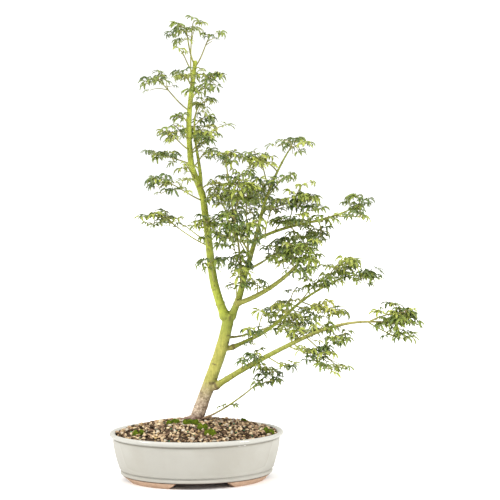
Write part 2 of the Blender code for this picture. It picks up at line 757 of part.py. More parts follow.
def fuse(name, stem, twigs, leaves, section, parts, leaf_material):
    """Joins a mass into one solid, with fewer leaves where the join comes out faulty."""
    for fewer, flatten in itertools.product(range(4), (True, False)):
        first = tube(name, *stem, 3, parts, leaf_material, section)
        group = new_collection(name + "_pieces")
        for path, radii in twigs:
            tube("twig", path, radii, 3, group, None, section)
        for points in leaves[: len(leaves) - fewer]:
            leaf_object(points, group)
        join_all(first, group)
        keep_largest(first, flatten)
        if sound(first.data):
            break
        print(f"{name} came out faulty, flatten {flatten}, {fewer} fewer")
        spare = first.data
        bpy.data.objects.remove(first, do_unlink=True)
        bpy.data.meshes.remove(spare)
    return first


def triangle_section(collection):
    """The three-sided outline that twigs are swept with, of radius 1."""
    curve = bpy.data.curves.new("twig_section", "CURVE")
    spline = curve.splines.new("POLY")
    spline.points.add(2)
    for i, item in enumerate(spline.points):
        angle = 2 * math.pi * i / 3
        item.co = (math.cos(angle), math.sin(angle), 0, 1)
    spline.use_cyclic_u = True
    section = bpy.data.objects.new("twig_section", curve)
    collection.objects.link(section)
    return section


def merged_tree(meshes):
    points, faces = [], []
    for more_points, more_faces in meshes:
        offset = len(points)
        points += more_points
        faces += [tuple(i + offset for i in face) for face in more_faces]
    return BVHTree.FromPolygons(points, faces)


def make_foliage(limbs, limb_objects, others, parts, helpers, leaf_material):
    section = triangle_section(helpers)
    solid = []
    for obj in [*limb_objects.values(), *others]:
        solid.append(polygons_of(evaluated_mesh(obj), obj.matrix_world))
    total = 0
    for number, row in enumerate(MASSES):
        mass, count = grow_mass(number, row, limbs, merged_tree(solid), section, parts, leaf_material)
        solid.append(polygons_of(mass.data))
        total += count
        print(f"{row[0]}: {count} of {row[-1]} leaves, {len(mass.data.polygons)} faces")
    print(f"{total} leaves in {len(MASSES)} masses")


# --- Assembly ----------------------------------------------------------------------------------


def centre_on_origin(parts):
    """Moves every part so that the origin is the centre of the bounding box's base."""
    bpy.context.view_layer.update()
    graph = bpy.context.evaluated_depsgraph_get()
    corners = []
    for obj in parts.objects:
        shown = obj.evaluated_get(graph)
        corners += [shown.matrix_world @ v.co for v in shown.data.vertices]
    low = [min(c[i] for c in corners) for i in range(3)]
    high = [max(c[i] for c in corners) for i in range(3)]
    shift = Vector((-(low[0] + high[0]) / 2, -(low[1] + high[1]) / 2, -low[2]))
    root = bpy.data.objects.new("plant_and_pot", None)
    bpy.context.scene.collection.objects.link(root)
    for obj in bpy.data.objects:
        if obj is not root and obj.parent is None:
            obj.parent = root
    root.location = shift
    print("pot centre at", [round(1000 * s, 2) for s in shift], "mm")


def main():
    clear_scene()
    parts = new_collection("potted_maple")
    cutters = new_collection("cutters")
    cutters.hide_render = True
    glaze = make_material("ivory_glaze", (0.66, 0.64, 0.56), 0.18)
    clay = make_material("bare_clay", (0.56, 0.36, 0.25), 0.8)
    earth = make_material("gritty_soil", (0.30, 0.21, 0.13), 0.95)
    bark = make_material("young_green_bark", (0.42, 0.46, 0.12), 0.5)
    green = make_material("maple_leaf", (0.16, 0.28, 0.06), 0.5)
    pot = make_pot(parts, cutters, glaze)
    make_foot("pot_foot_front_right", 1, -1, parts, cutters, clay)
    make_foot("pot_foot_front_left", -1, -1, parts, cutters, clay)
    make_foot("pot_foot_back_right", 1, 1, parts, cutters, clay)
    make_foot("pot_foot_back_left", -1, 1, parts, cutters, clay)
    soil = make_soil(parts, earth)
    limbs, limb_objects = make_limbs(parts, bark)
    make_foliage(limbs, limb_objects, (pot, soil), parts, cutters, green)
    for obj in cutters.objects:
        obj.hide_render = True
        obj.display_type = "WIRE"
    centre_on_origin(parts)


main()
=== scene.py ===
# %% [markdown]
# # A Japanese maple bonsai in a glazed oval pot
#
# This lesson dresses a finished model of a small maple tree. The model's solids are loaded as a
# fixed frame, and every piece made here sits on them: a pot with a real glaze, loose soil grains,
# moss, bark with its relief, and leaves that grow by a rule.

# %% Load the frame
import json
import math
import random

import bmesh
import bpy
import numpy as np
from mathutils import Matrix, Vector, noise
from mathutils.bvhtree import BVHTree
from mathutils.kdtree import KDTree

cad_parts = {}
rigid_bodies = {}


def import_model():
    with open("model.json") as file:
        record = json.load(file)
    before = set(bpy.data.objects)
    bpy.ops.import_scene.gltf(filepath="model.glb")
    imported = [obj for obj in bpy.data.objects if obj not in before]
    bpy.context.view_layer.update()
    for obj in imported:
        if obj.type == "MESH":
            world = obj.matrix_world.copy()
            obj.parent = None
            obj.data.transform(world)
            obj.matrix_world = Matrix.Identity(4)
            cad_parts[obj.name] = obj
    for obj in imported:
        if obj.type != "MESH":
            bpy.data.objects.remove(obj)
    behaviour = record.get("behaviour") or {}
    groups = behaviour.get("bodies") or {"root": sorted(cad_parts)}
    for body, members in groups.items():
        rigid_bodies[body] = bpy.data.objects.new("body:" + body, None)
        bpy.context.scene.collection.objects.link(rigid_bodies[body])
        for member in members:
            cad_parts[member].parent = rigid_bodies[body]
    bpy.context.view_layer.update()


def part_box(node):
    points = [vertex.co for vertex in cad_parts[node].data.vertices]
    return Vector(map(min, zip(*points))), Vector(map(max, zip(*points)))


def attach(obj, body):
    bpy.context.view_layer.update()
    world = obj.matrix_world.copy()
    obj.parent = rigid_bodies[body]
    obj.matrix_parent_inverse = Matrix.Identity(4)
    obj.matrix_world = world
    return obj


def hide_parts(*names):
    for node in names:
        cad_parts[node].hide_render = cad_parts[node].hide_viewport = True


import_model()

MM = 0.001
Z_AXIS = Vector((0, 0, 1))

# %% [markdown]
# ## Where things are
#
# The frame's origin is the middle of the whole object's base. It is easier to think from the
# middle of the pot, so places below are in millimetres from there, and `spot` turns them into
# the frame's metres.

# %% Places measured from the middle of the pot
pot_low, pot_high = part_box("pot")
POT_MIDDLE = Vector(((pot_low.x + pot_high.x) / 2, (pot_low.y + pot_high.y) / 2, 0))


def spot(x, y, z):
    return POT_MIDDLE + Vector((x, y, z)) * MM


print("middle of the pot at", [round(c, 4) for c in POT_MIDDLE])

# %% [markdown]
# ## The camera
#
# The picture is taken from 2.5 m away with a long lens, a little above the pot and turned eight
# degrees to the side, so that the tree leans across the view.

# %% Camera
VIEW_TURN = math.radians(8)
CAMERA_PLACE = (96.3, -2500, 534)  # mm, in a frame turned with the view
CAMERA_AIM = (96.3, 0, 414)
SENSOR_WIDTH, LENS_LENGTH = 36, 100.1  # mm
NEAREST_SEEN, FARTHEST_SEEN = 0.1, 60  # metres


def turned_spot(x, y, z):
    c, s = math.cos(VIEW_TURN), math.sin(VIEW_TURN)
    return spot(x * c + y * s, -x * s + y * c, z)


lens = bpy.data.cameras.new("camera")
lens.sensor_width, lens.lens = SENSOR_WIDTH, LENS_LENGTH
lens.clip_start, lens.clip_end = NEAREST_SEEN, FARTHEST_SEEN
camera = bpy.data.objects.new("camera", lens)
bpy.context.scene.collection.objects.link(camera)
camera.location = turned_spot(*CAMERA_PLACE)
aim = turned_spot(*CAMERA_AIM) - camera.location
camera.rotation_euler = aim.to_track_quat("-Z", "Y").to_euler()
bpy.context.scene.camera = camera
print("camera looks", [round(c, 3) for c in aim.normalized()])

# %% [markdown]
# ## Tools for materials
#
# Every material below is a Principled shader with a small network in front of it. A few helpers
# keep the networks short. Three effects are used by several materials, so each is built once as
# a node group: a mottled mix of two colours, a fine bump, and a fade by height.

# %% Node helpers
COLOUR, FLOAT, VECTOR = "NodeSocketColor", "NodeSocketFloat", "NodeSocketVector"


def add_node(tree, kind, settings=None, **inputs):
    """A node of a kind, with settings on the node itself and values or links for its inputs.

    An input goes by its name, with underscores for spaces, or by its number, as in _0.
    """
    node = tree.nodes.new(kind)
    for key, value in (settings or {}).items():
        setattr(node, key, value)
    for key, value in inputs.items():
        socket = node.inputs[int(key[1:]) if key[1:].isdigit() else key.replace("_", " ")]
        if isinstance(value, bpy.types.NodeSocket):
            tree.links.new(value, socket)
        else:
            socket.default_value = value
    return node


def calc(tree, operation, *numbers):
    inputs = {f"_{i}": number for i, number in enumerate(numbers)}
    return add_node(tree, "ShaderNodeMath", {"operation": operation}, **inputs).outputs[0]


def fade(tree, value, low, high, first=0.0, last=1.0):
    """The first number where the value is low, the last one where it is high, and between them."""
    return add_node(tree, "ShaderNodeMapRange", _0=value, _1=low, _2=high, _3=first, _4=last).outputs[0]


def mix(tree, share, under, over, blend="MIX"):
    """One colour over another, by a share. A colour is a link or three numbers."""
    under, over = (c if isinstance(c, bpy.types.NodeSocket) else (*c, 1) for c in (under, over))
    settings = {"data_type": "RGBA", "blend_type": blend}
    return add_node(tree, "ShaderNodeMix", settings, _0=share, _6=under, _7=over).outputs[2]


def own_place(tree):
    """Where a point is on its own piece, which in this frame is its place in metres."""
    return tree.nodes.new("ShaderNodeTexCoord").outputs["Object"]


def attribute(tree, name):
    return add_node(tree, "ShaderNodeAttribute", {"attribute_name": name}).outputs["Fac"]


def new_group(name, inputs, outputs):
    """A shader node group with named sockets. Returns it with its input and output nodes."""
    group = bpy.data.node_groups.new(name, "ShaderNodeTree")
    for label, kind, value in inputs:
        socket = group.interface.new_socket(label, in_out="INPUT", socket_type=kind)
        socket.default_value = value
    for label, kind in outputs:
        group.interface.new_socket(label, in_out="OUTPUT", socket_type=kind)
    return group, group.nodes.new("NodeGroupInput"), group.nodes.new("NodeGroupOutput")


# %% Mottled mix of two colours
mottle, entry, leave = new_group(
    "mottle",
    [("Light", COLOUR, (1, 1, 1, 1)), ("Dark", COLOUR, (0, 0, 0, 1)), ("Size mm", FLOAT, 10.0)],
    [("Color", COLOUR)],
)
blotches = add_node(
    mottle, "ShaderNodeTexNoise", Vector=own_place(mottle),
    Scale=calc(mottle, "DIVIDE", 1000.0, entry.outputs["Size mm"]), Detail=5.0, Roughness=0.6,
)
spread = fade(mottle, blotches.outputs["Fac"], 0.36, 0.64)
mottle.links.new(mix(mottle, spread, entry.outputs["Light"], entry.outputs["Dark"]), leave.inputs["Color"])

# %% Fine bump
grit, entry, leave = new_group(
    "grit",
    [("Size mm", FLOAT, 1.0), ("Height mm", FLOAT, 0.1), ("Strength", FLOAT, 0.5)],
    [("Normal", VECTOR)],
)
grains = add_node(
    grit, "ShaderNodeTexNoise", Vector=own_place(grit),
    Scale=calc(grit, "DIVIDE", 1000.0, entry.outputs["Size mm"]), Detail=3.0,
)
bump = add_node(
    grit, "ShaderNodeBump", Height=grains.outputs["Fac"],
    Distance=calc(grit, "MULTIPLY", entry.outputs["Height mm"], MM), Strength=entry.outputs["Strength"],
)
grit.links.new(bump.outputs[0], leave.inputs["Normal"])

# %% Fade by height
rise, entry, leave = new_group("rise", [("From mm", FLOAT, 0.0), ("To mm", FLOAT, 10.0)], [("Share", FLOAT)])
split = add_node(rise, "ShaderNodeSeparateXYZ", _0=own_place(rise))
height = calc(rise, "MULTIPLY", split.outputs[2], 1000.0)
share = fade(rise, height, entry.outputs["From mm"], entry.outputs["To mm"])
rise.links.new(share, leave.inputs["Share"])
print("shader groups:", mottle.name, grit.name, rise.name)

# %% Material helpers


def two_tones(tree, light, dark, size):
    """A mottled mix of two colours, in blotches of a size in mm."""
    group = {"node_tree": mottle}
    made = add_node(tree, "ShaderNodeGroup", group, Light=(*light, 1), Dark=(*dark, 1), Size_mm=size)
    return made.outputs[0]


def by_height(tree, first, last):
    """0 at the first height, 1 at the last one (mm)."""
    return add_node(tree, "ShaderNodeGroup", {"node_tree": rise}, From_mm=first, To_mm=last).outputs[0]


def new_material(name, roughness, colour=(0.8, 0.8, 0.8)):
    material = bpy.data.materials.new(name)
    material.use_nodes = True
    shader = material.node_tree.nodes["Principled BSDF"]
    shader.inputs["Base Color"].default_value = (*colour, 1)
    shader.inputs["Roughness"].default_value = roughness
    return material, material.node_tree, shader


def coat(tree, shader, colour, bump=None, specular=None):
    """Links the colour, and a bump with grains of a size and height (mm) and a strength."""
    tree.links.new(colour, shader.inputs["Base Color"])
    if bump:
        group = {"node_tree": grit}
        made = add_node(tree, "ShaderNodeGroup", group, Size_mm=bump[0], Height_mm=bump[1], Strength=bump[2])
        tree.links.new(made.outputs["Normal"], shader.inputs["Normal"])
    if specular is not None:
        shader.inputs["Specular IOR Level"].default_value = specular


def mottled_material(name, roughness, light, dark, size, bump=None, specular=None):
    material, tree, shader = new_material(name, roughness)
    coat(tree, shader, two_tones(tree, light, dark, size), bump, specular)
    return material


# %% [markdown]
# ## Tools for geometry
#
# Geometry Nodes make what repeats here: leaves, bud rings, soil grains and moss. Each tree takes
# its sizes as named inputs. A modifier's input is set by its socket's identifier, so `run_tree`
# looks that up from the name, evaluates the object once, keeps the plain mesh and drops the rest.

# %% Mesh and object helpers
GEOMETRY, MATERIAL, COLLECTION = "NodeSocketGeometry", "NodeSocketMaterial", "NodeSocketCollection"
INTEGER = "NodeSocketInt"


def new_object(name, data):
    obj = bpy.data.objects.new(name, data)
    bpy.context.scene.collection.objects.link(obj)
    return obj


def mesh_from(shape, name, outward=False, smooth=False):
    """A mesh from a bmesh, which is freed. Its faces may be turned outwards and shaded smooth."""
    if outward:
        bmesh.ops.recalc_face_normals(shape, faces=shape.faces)
    mesh = bpy.data.meshes.new(name)
    shape.to_mesh(mesh)
    shape.free()
    if smooth:
        mesh.shade_smooth()
    return mesh


def skin_rings(shape, rings):
    """Faces between each closed ring of points and the next. Points that meet are used once."""
    for low, high in zip(rings, rings[1:]):
        for i in range(len(low)):
            j = (i + 1) % len(low)
            corners = list(dict.fromkeys((low[i], low[j], high[j], high[i])))
            if len(corners) > 2:
                shape.faces.new(corners)


def plain_mesh(obj):
    """The object's evaluated shape as a new mesh. The object itself is removed."""
    bpy.context.view_layer.update()
    graph = bpy.context.evaluated_depsgraph_get()
    mesh = bpy.data.meshes.new_from_object(obj.evaluated_get(graph))
    spare = obj.data
    bpy.data.objects.remove(obj, do_unlink=True)
    (bpy.data.curves if isinstance(spare, bpy.types.Curve) else bpy.data.meshes).remove(spare)
    return mesh


def shape_store(name, meshes):
    """A collection of shapes that a tree places. It isn't in the scene, so they don't render."""
    store = bpy.data.collections.new(name)
    for number, mesh in enumerate(meshes):
        store.objects.link(bpy.data.objects.new(f"{name}_{number}", mesh))
    return store


def new_tree(name, inputs):
    tree = bpy.data.node_groups.new(name, "GeometryNodeTree")
    tree.interface.new_socket("Geometry", in_out="INPUT", socket_type=GEOMETRY)
    for label, kind in inputs:
        tree.interface.new_socket(label, in_out="INPUT", socket_type=kind)
    tree.interface.new_socket("Geometry", in_out="OUTPUT", socket_type=GEOMETRY)
    return tree, tree.nodes.new("NodeGroupInput"), tree.nodes.new("NodeGroupOutput")


def end_tree(tree, entry, exit_node, instances):
    """Every tree ends the same way: real geometry, with one material."""
    real = add_node(tree, "GeometryNodeRealizeInstances", Geometry=instances)
    material = entry.outputs["Material"]
    done = add_node(tree, "GeometryNodeSetMaterial", Geometry=real.outputs[0], Material=material)
    tree.links.new(done.outputs[0], exit_node.inputs[0])


def run_tree(name, data, tree, settings):
    """Runs a tree on some data and returns a new object with the plain mesh that comes out."""
    obj = new_object(name + "_source", data)
    modifier = obj.modifiers.new("nodes", "NODES")
    modifier.node_group = tree
    for socket in tree.interface.items_tree:
        if socket.in_out == "INPUT" and socket.name in settings:
            modifier[socket.identifier] = settings[socket.name]
    return new_object(name, plain_mesh(obj))


def finish_piece(obj, slot, *nodes):
    """Every piece rides on the one body and may stand for CAD nodes. The slot is not used."""
    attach(obj, "root")
    if nodes:
        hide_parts(*nodes)
    obj.data.calc_loop_triangles()
    print(f"{obj.name}: {len(obj.data.loop_triangles)} triangles")


# %% A tree that puts ready shapes on points
#
# The points carry three attributes: which shape, how it is turned and how large it is.
copies_tree, entry, leave = new_tree("copies_on_points", [("Shapes", COLLECTION), ("Material", MATERIAL)])
shapes = add_node(
    copies_tree, "GeometryNodeCollectionInfo", Collection=entry.outputs["Shapes"],
    Separate_Children=True, Reset_Children=True,
)
POINT_DATA = (("turn", "QUATERNION"), ("size", "FLOAT"), ("shape", "INT"))
turn, size, kind = (
    add_node(
        copies_tree, "GeometryNodeInputNamedAttribute", {"data_type": data}, Name=label
    ).outputs["Attribute"]
    for label, data in POINT_DATA
)
copies = add_node(
    copies_tree, "GeometryNodeInstanceOnPoints", Points=entry.outputs[0], Instance=shapes.outputs[0],
    Pick_Instance=True, Instance_Index=kind, Rotation=turn, Scale=size,
)
end_tree(copies_tree, entry, leave, copies.outputs[0])


def points_with(rows):
    """A mesh of loose points from rows of (place, turn, size, shape)."""
    mesh = bpy.data.meshes.new("points")
    mesh.from_pydata([row[0] for row in rows], [], [])
    for column, (label, data) in enumerate(POINT_DATA, 1):
        values = [row[column] for row in rows]
        if data == "QUATERNION":
            values = [part for turn in values for part in turn]
        mesh.attributes.new(label, data, "POINT").data.foreach_set("value", values)
    return mesh


# %% A tree that sweeps tapering tubes along curves
tubes_tree, entry, leave = new_tree("tubes", [("Sides", INTEGER), ("Material", MATERIAL)])
ring = add_node(
    tubes_tree, "GeometryNodeCurvePrimitiveCircle", {"mode": "RADIUS"},
    Resolution=entry.outputs["Sides"], Radius=1.0,
)
thickness = tubes_tree.nodes.new("GeometryNodeInputRadius")
swept = add_node(
    tubes_tree, "GeometryNodeCurveToMesh", Curve=entry.outputs[0], Profile_Curve=ring.outputs[0],
    Scale=thickness.outputs[0], Fill_Caps=True,
)
end_tree(tubes_tree, entry, leave, swept.outputs[0])


def curves_from(paths):
    """Curve data with one straight-sided spline for each (points, radii)."""
    curve = bpy.data.curves.new("paths", "CURVE")
    curve.dimensions = "3D"
    for points, radii in paths:
        spline = curve.splines.new("POLY")
        spline.points.add(len(points) - 1)
        for item, point, radius in zip(spline.points, points, radii):
            item.co = (*point, 1)
            item.radius = radius
    return curve


print("geometry trees:", copies_tree.name, tubes_tree.name)

# %% [markdown]
# ## The pot
#
# The real pot is stoneware, pressed in a mould: an oval bowl with a rolled lip, a wall that
# bulges a little, and a raised band round its foot. It could be lathed with a Screw modifier. A
# profile of named heights, rounded with arcs and swept round an oval in code, gives the same
# form with control over the lip's roll, so that is used here.

# %% Pot sizes
POT_HALF_LENGTH, POT_HALF_WIDTH, POT_HEIGHT = 157.5, 122.2, 87.0  # mm
WIDTH_RATIO = POT_HALF_WIDTH / POT_HALF_LENGTH
FOOT_HEIGHT, WALL = 10.5, 7.0
LIP_HEIGHT = 9.6
LIP_FOOT = POT_HEIGHT - LIP_HEIGHT
BELLY_HEIGHT, BELLY_INSET = 42.0, 12.0
WAIST_HEIGHT, WAIST_INSET = 26.0, 18.0
BAND_HEIGHT, BAND_HALF, BAND_INSET = 15.5, 4.5, 18.2
BASE_HALF_LENGTH = 133.0
SOIL_EDGE, SOIL_MOUND, SOIL_FALL = 85.0, 18.0, 2.6
DRAIN_RADIUS, DRAIN_OFFSET = 9.0, 58.0
POT_STEPS, BED_STEPS, DRAIN_STEPS = 192, 96, 48  # points round each
POT_CREASE = 60  # degrees past which an edge stays sharp


def inner_wall(height):
    """Half length of the pot's inside at a height."""
    low, high = FOOT_HEIGHT + 2 * WALL, POT_HEIGHT
    low_radius, high_radius = BASE_HALF_LENGTH - 2, POT_HALF_LENGTH - 9
    return low_radius + (high_radius - low_radius) * (height - low) / (high - low)


def arc(centre, radii, start, end, count):
    """Points of an elliptical arc in the plane of the profile, angles in degrees."""
    steps = [math.radians(start + (end - start) * i / (count - 1)) for i in range(count)]
    return [(centre[0] + radii[0] * math.cos(a), centre[1] + radii[1] * math.sin(a)) for a in steps]


def smooth_line(points, count):
    """A smooth curve through a few points of the profile."""
    rows = []
    knots = [points[0], *points, points[-1]]
    for a, b, c, d in zip(knots, knots[1:], knots[2:], knots[3:]):
        for i in range(count):
            t = i / count
            rows.append(tuple(
                0.5 * (
                    2 * q + (r - p) * t + (2 * p - 5 * q + 4 * r - s) * t * t
                    + (3 * q - p - 3 * r + s) * t**3
                )
                for p, q, r, s in zip(a, b, c, d)
            ))
    return [*rows, points[-1]]


def pot_profile():
    edge = POT_HALF_LENGTH
    lip_middle = POT_HEIGHT - LIP_HEIGHT / 2
    inner_lip = (inner_wall(POT_HEIGHT) + 1.2, POT_HEIGHT - 1.6)
    lip = arc((edge - 4.6, lip_middle + 0.6), (4.6, LIP_HEIGHT / 2 - 0.6), 90, -62, 14)
    groove = [(edge - 4.4, LIP_FOOT + 0.2), (edge - 6.6, LIP_FOOT + 0.1), (edge - 7.4, LIP_FOOT - 0.8)]
    wall = smooth_line(
        [(edge - 6.5, LIP_FOOT - 2.2), (edge - 6.9, LIP_FOOT - 14), (edge - BELLY_INSET + 0.6, BELLY_HEIGHT),
         (edge - WAIST_INSET + 1.6, WAIST_HEIGHT), (edge - BAND_INSET + 0.2, BAND_HEIGHT + BAND_HALF + 1.6),
         (edge - BAND_INSET - 3.9, BAND_HEIGHT + BAND_HALF - 0.2)], 7,
    )
    band = arc((edge - BAND_INSET - 4.3, BAND_HEIGHT - 0.6), (2.9, BAND_HALF - 0.9), 80, -84, 9)
    under = FOOT_HEIGHT + 0.3
    base = [(BASE_HALF_LENGTH, FOOT_HEIGHT + 1.2), (BASE_HALF_LENGTH - 1.5, under), (0, under)]
    floor = FOOT_HEIGHT + WALL
    inside = [(0, floor), (inner_wall(floor) - 6, floor)]
    inside += [(inner_wall(h), h) for h in (floor + WALL, POT_HEIGHT - 6, POT_HEIGHT - 3)]
    inside.append(inner_lip)
    return [*inside, *lip, *groove, *wall, *band, *base]


def oval_sweep(name, profile, steps):
    """A closed mesh: the profile goes round the pot's oval, and points on its axis become one."""
    shape = bmesh.new()
    rings = []
    for radius, height in profile:
        if radius == 0:
            rings.append([shape.verts.new(spot(0, 0, height))] * steps)
            continue
        turns = [2 * math.pi * i / steps for i in range(steps)]
        rings.append([
            shape.verts.new(spot(radius * math.cos(a), radius * WIDTH_RATIO * math.sin(a), height))
            for a in turns
        ])
    skin_rings(shape, rings)
    return mesh_from(shape, name, outward=True, smooth=True)


# %% [markdown]
# The glaze is a thick, glassy ivory. It has a faint cloudiness, a few iron specks, and a surface
# that is never quite flat, which breaks up the reflections of the lamps. A painted light makes the lip
# lighter and a painted shade makes the groove below darker. Seen edge on, and low on the wall, it is
# duller. Under the band the clay is bare, and a painted shade darkens the side that faces the ground.

# %% Glaze and clay
glaze, tree, shader = new_material("ivory_glaze", roughness=0.13)
cloud = two_tones(tree, (0.370, 0.359, 0.322), (0.345, 0.331, 0.290), 60.0)
# Painted shade: the glaze is darkened in the groove under the lip.
groove_painted_shade = calc(tree, "MULTIPLY", by_height(tree, LIP_FOOT - 4.5, LIP_FOOT - 0.5), 0.6)
glaze_and_painted_groove_shade = mix(tree, groove_painted_shade, cloud, (0.22, 0.205, 0.165))
# Painted light: the lip is made lighter than the rest of the glaze.
glaze_and_painted_lip_light = mix(tree, by_height(tree, LIP_FOOT + 0.3, LIP_FOOT + 3.0), glaze_and_painted_groove_shade, (0.435, 0.428, 0.390))
cells = add_node(tree, "ShaderNodeTexVoronoi", Vector=own_place(tree), Scale=95.0)
lot = add_node(tree, "ShaderNodeSeparateColor", Color=cells.outputs["Color"]).outputs[0]
near = fade(tree, cells.outputs["Distance"], 0.05, 0.13, 0.75, 0.0)
speck = calc(tree, "MULTIPLY", calc(tree, "GREATER_THAN", lot, 0.93), near)
coat(tree, shader, mix(tree, speck, glaze_and_painted_lip_light, (0.20, 0.15, 0.10)), bump=(26.0, 0.8, 0.35), specular=0.2)
facing = add_node(tree, "ShaderNodeLayerWeight", Blend=0.5).outputs["Facing"]
above_band = by_height(tree, BAND_HEIGHT + BAND_HALF - 3.0, WAIST_HEIGHT + 6.0)
gloss = calc(tree, "MULTIPLY", fade(tree, facing, 0.35, 0.9, 1.0, 0.0), above_band)
for label, dull, glossy in (("Roughness", 0.6, 0.13), ("Coat Weight", 0.0, 0.25)):
    tree.links.new(fade(tree, gloss, 0.0, 1.0, dull, glossy), shader.inputs[label])
shader.inputs["Coat Roughness"].default_value = 0.06

clay, tree, shader = new_material("bare_clay", roughness=0.85)
fired = two_tones(tree, (0.52, 0.36, 0.25), (0.42, 0.27, 0.18), 7.0)
# Painted shade: the clay above the feet, the underside and a thin strip under the band, is made nearly black.
under = by_height(tree, FOOT_HEIGHT + 0.1, FOOT_HEIGHT + 0.25)
coat(tree, shader, mix(tree, under, fired, (0.11, 0.07, 0.05)), bump=(0.7, 0.25, 0.6))

# %% Make the pot
pot = new_object("glazed_pot", oval_sweep("glazed_pot", pot_profile(), POT_STEPS))
for side in (-1, 1):
    shape = bmesh.new()
    bmesh.ops.create_cone(
        shape, cap_ends=True, segments=DRAIN_STEPS,
        radius1=DRAIN_RADIUS * MM, radius2=DRAIN_RADIUS * MM, depth=4 * WALL * MM,
    )
    bmesh.ops.translate(shape, verts=shape.verts, vec=spot(side * DRAIN_OFFSET, 0, FOOT_HEIGHT + WALL / 2))
    cutter = new_object("drain", mesh_from(shape, "drain"))
    cut = pot.modifiers.new("drain", "BOOLEAN")
    cut.operation, cut.object = "DIFFERENCE", cutter
    mesh = bpy.data.meshes.new_from_object(pot.evaluated_get(bpy.context.evaluated_depsgraph_get()))
    pot.modifiers.clear()
    pot.data = mesh
    bpy.data.objects.remove(cutter, do_unlink=True)
pot.data.materials.clear()
pot.data.materials.append(glaze)
pot.data.materials.append(clay)
CLAY_LINE = (BAND_HEIGHT - BAND_HALF + 1.2) * MM
FLOOR_LINE = (FOOT_HEIGHT + WALL + 0.1) * MM
for face in pot.data.polygons:
    inner_floor = face.center.z < FLOOR_LINE and face.normal.z > 0.9
    face.material_index = 1 if face.center.z < CLAY_LINE or inner_floor else 0
pot.data.shade_smooth()
pot.data.set_sharp_from_angle(angle=math.radians(POT_CREASE))
finish_piece(pot, "glaze", "pot")

# %% [markdown]
# The four feet are arcs of one oval ring, cut with sloping ends. Each is swept in code along its
# arc, with a rounded section and end rings that lean.

# %% Feet
FOOT_ANGLES_TOP, FOOT_ANGLES_SOLE = (8, 69), (20, 62)  # degrees
FOOT_TOP, FOOT_SOLE, FOOT_WIDTH = 135.0, 125.5, 22.0
FOOT_EDGE = 0.8  # mm, how far the sole's edge is rounded
FOOT_STEPS, FOOT_CREASE = 36, 35  # rings along a foot, and its crease in degrees


def foot_mesh(name, flip_x, flip_y):
    """Each corner of the section has a reach, a height and its own start and end angle."""
    section = [
        (FOOT_TOP - FOOT_WIDTH, FOOT_HEIGHT), (FOOT_TOP, FOOT_HEIGHT), (FOOT_SOLE + 0.25, FOOT_EDGE),
        (FOOT_SOLE - FOOT_EDGE, 0), (FOOT_SOLE - FOOT_WIDTH + 6 + FOOT_EDGE, 0),
        (FOOT_SOLE - FOOT_WIDTH + 5.7, FOOT_EDGE),
    ]
    shape = bmesh.new()
    rings = []
    for step in range(FOOT_STEPS + 1):
        t = step / FOOT_STEPS
        ring = []
        for reach, height in section:
            up = height / FOOT_HEIGHT
            first, last = (sole + (top - sole) * up for sole, top in zip(FOOT_ANGLES_SOLE, FOOT_ANGLES_TOP))
            angle = math.radians(first + (last - first) * t)
            x, y = flip_x * reach * math.cos(angle), flip_y * reach * WIDTH_RATIO * math.sin(angle)
            ring.append(shape.verts.new(spot(x, y, height)))
        rings.append(ring)
    skin_rings(shape, rings)
    shape.faces.new(rings[0])
    shape.faces.new(rings[-1])
    mesh = mesh_from(shape, name, outward=True, smooth=True)
    mesh.set_sharp_from_angle(angle=math.radians(FOOT_CREASE))
    mesh.materials.append(clay)
    return mesh


for flip_x, side in ((1, "right"), (-1, "left")):
    for flip_y, end in ((-1, "front"), (1, "back")):
        name = f"{end}_{side}"
        foot = new_object("clay_foot_" + name, foot_mesh(name, flip_x, flip_y))
        finish_piece(foot, "clay", "pot_foot_" + name)

# %% [markdown]
# ## Soil
#
# Bonsai soil is sifted grit: baked clay, pumice and bark in grains of three to seven
# millimetres. A flat texture would never catch the light like loose grains, so the mound below
# them is only a dark bed, and real grains are scattered on it. The grains are convex lumps of a
# few faces in six shapes, and one scatter is run for each colour of grit.

# %% Bed of soil
EDGE_DROP = 3.2  # mm, how far the soil has settled along the rim


def soil_height(x, y):
    reach = inner_wall(SOIL_EDGE)
    share = min(1.0, math.hypot(x, y / WIDTH_RATIO) / reach)
    return SOIL_EDGE - EDGE_DROP + (SOIL_MOUND + EDGE_DROP) * (1 - share**SOIL_FALL)


BED_RINGS, BED_SINK = 30, 2.2
soil_dark = mottled_material(
    "damp_soil", 0.95, (0.10, 0.065, 0.04), (0.035, 0.022, 0.014), 5.0, bump=(2.0, 1.0, 0.8), specular=0.1
)
bed_edge = inner_wall(SOIL_EDGE) - 0.5
pot_floor = FOOT_HEIGHT + WALL
profile = [(bed_edge * i / BED_RINGS, SOIL_EDGE - BED_SINK) for i in range(BED_RINGS + 1)]
profile += [(inner_wall(pot_floor + WALL + 1) - 0.5, pot_floor + WALL + 1)]
profile += [(inner_wall(pot_floor) - 7, pot_floor + 0.4), (0, pot_floor + 0.4)]
bed = new_object("soil_bed", oval_sweep("soil_bed", profile, BED_STEPS))
for vertex in bed.data.vertices:
    away = vertex.co - POT_MIDDLE
    if away.z > (SOIL_EDGE - BED_SINK - 0.1) * MM:
        level = soil_height(away.x / MM, away.y / MM) - BED_SINK
        vertex.co.z = (level + 0.8 * noise.noise(away * 160)) * MM
bed.data.materials.append(soil_dark)
finish_piece(bed, "soil", "soil")

# %% Shapes of the grains
GRAIN_POINTS = 13
FLATNESS = (0.8, 0.65, 0.5, 0.7, 0.42, 0.58)  # of each shape


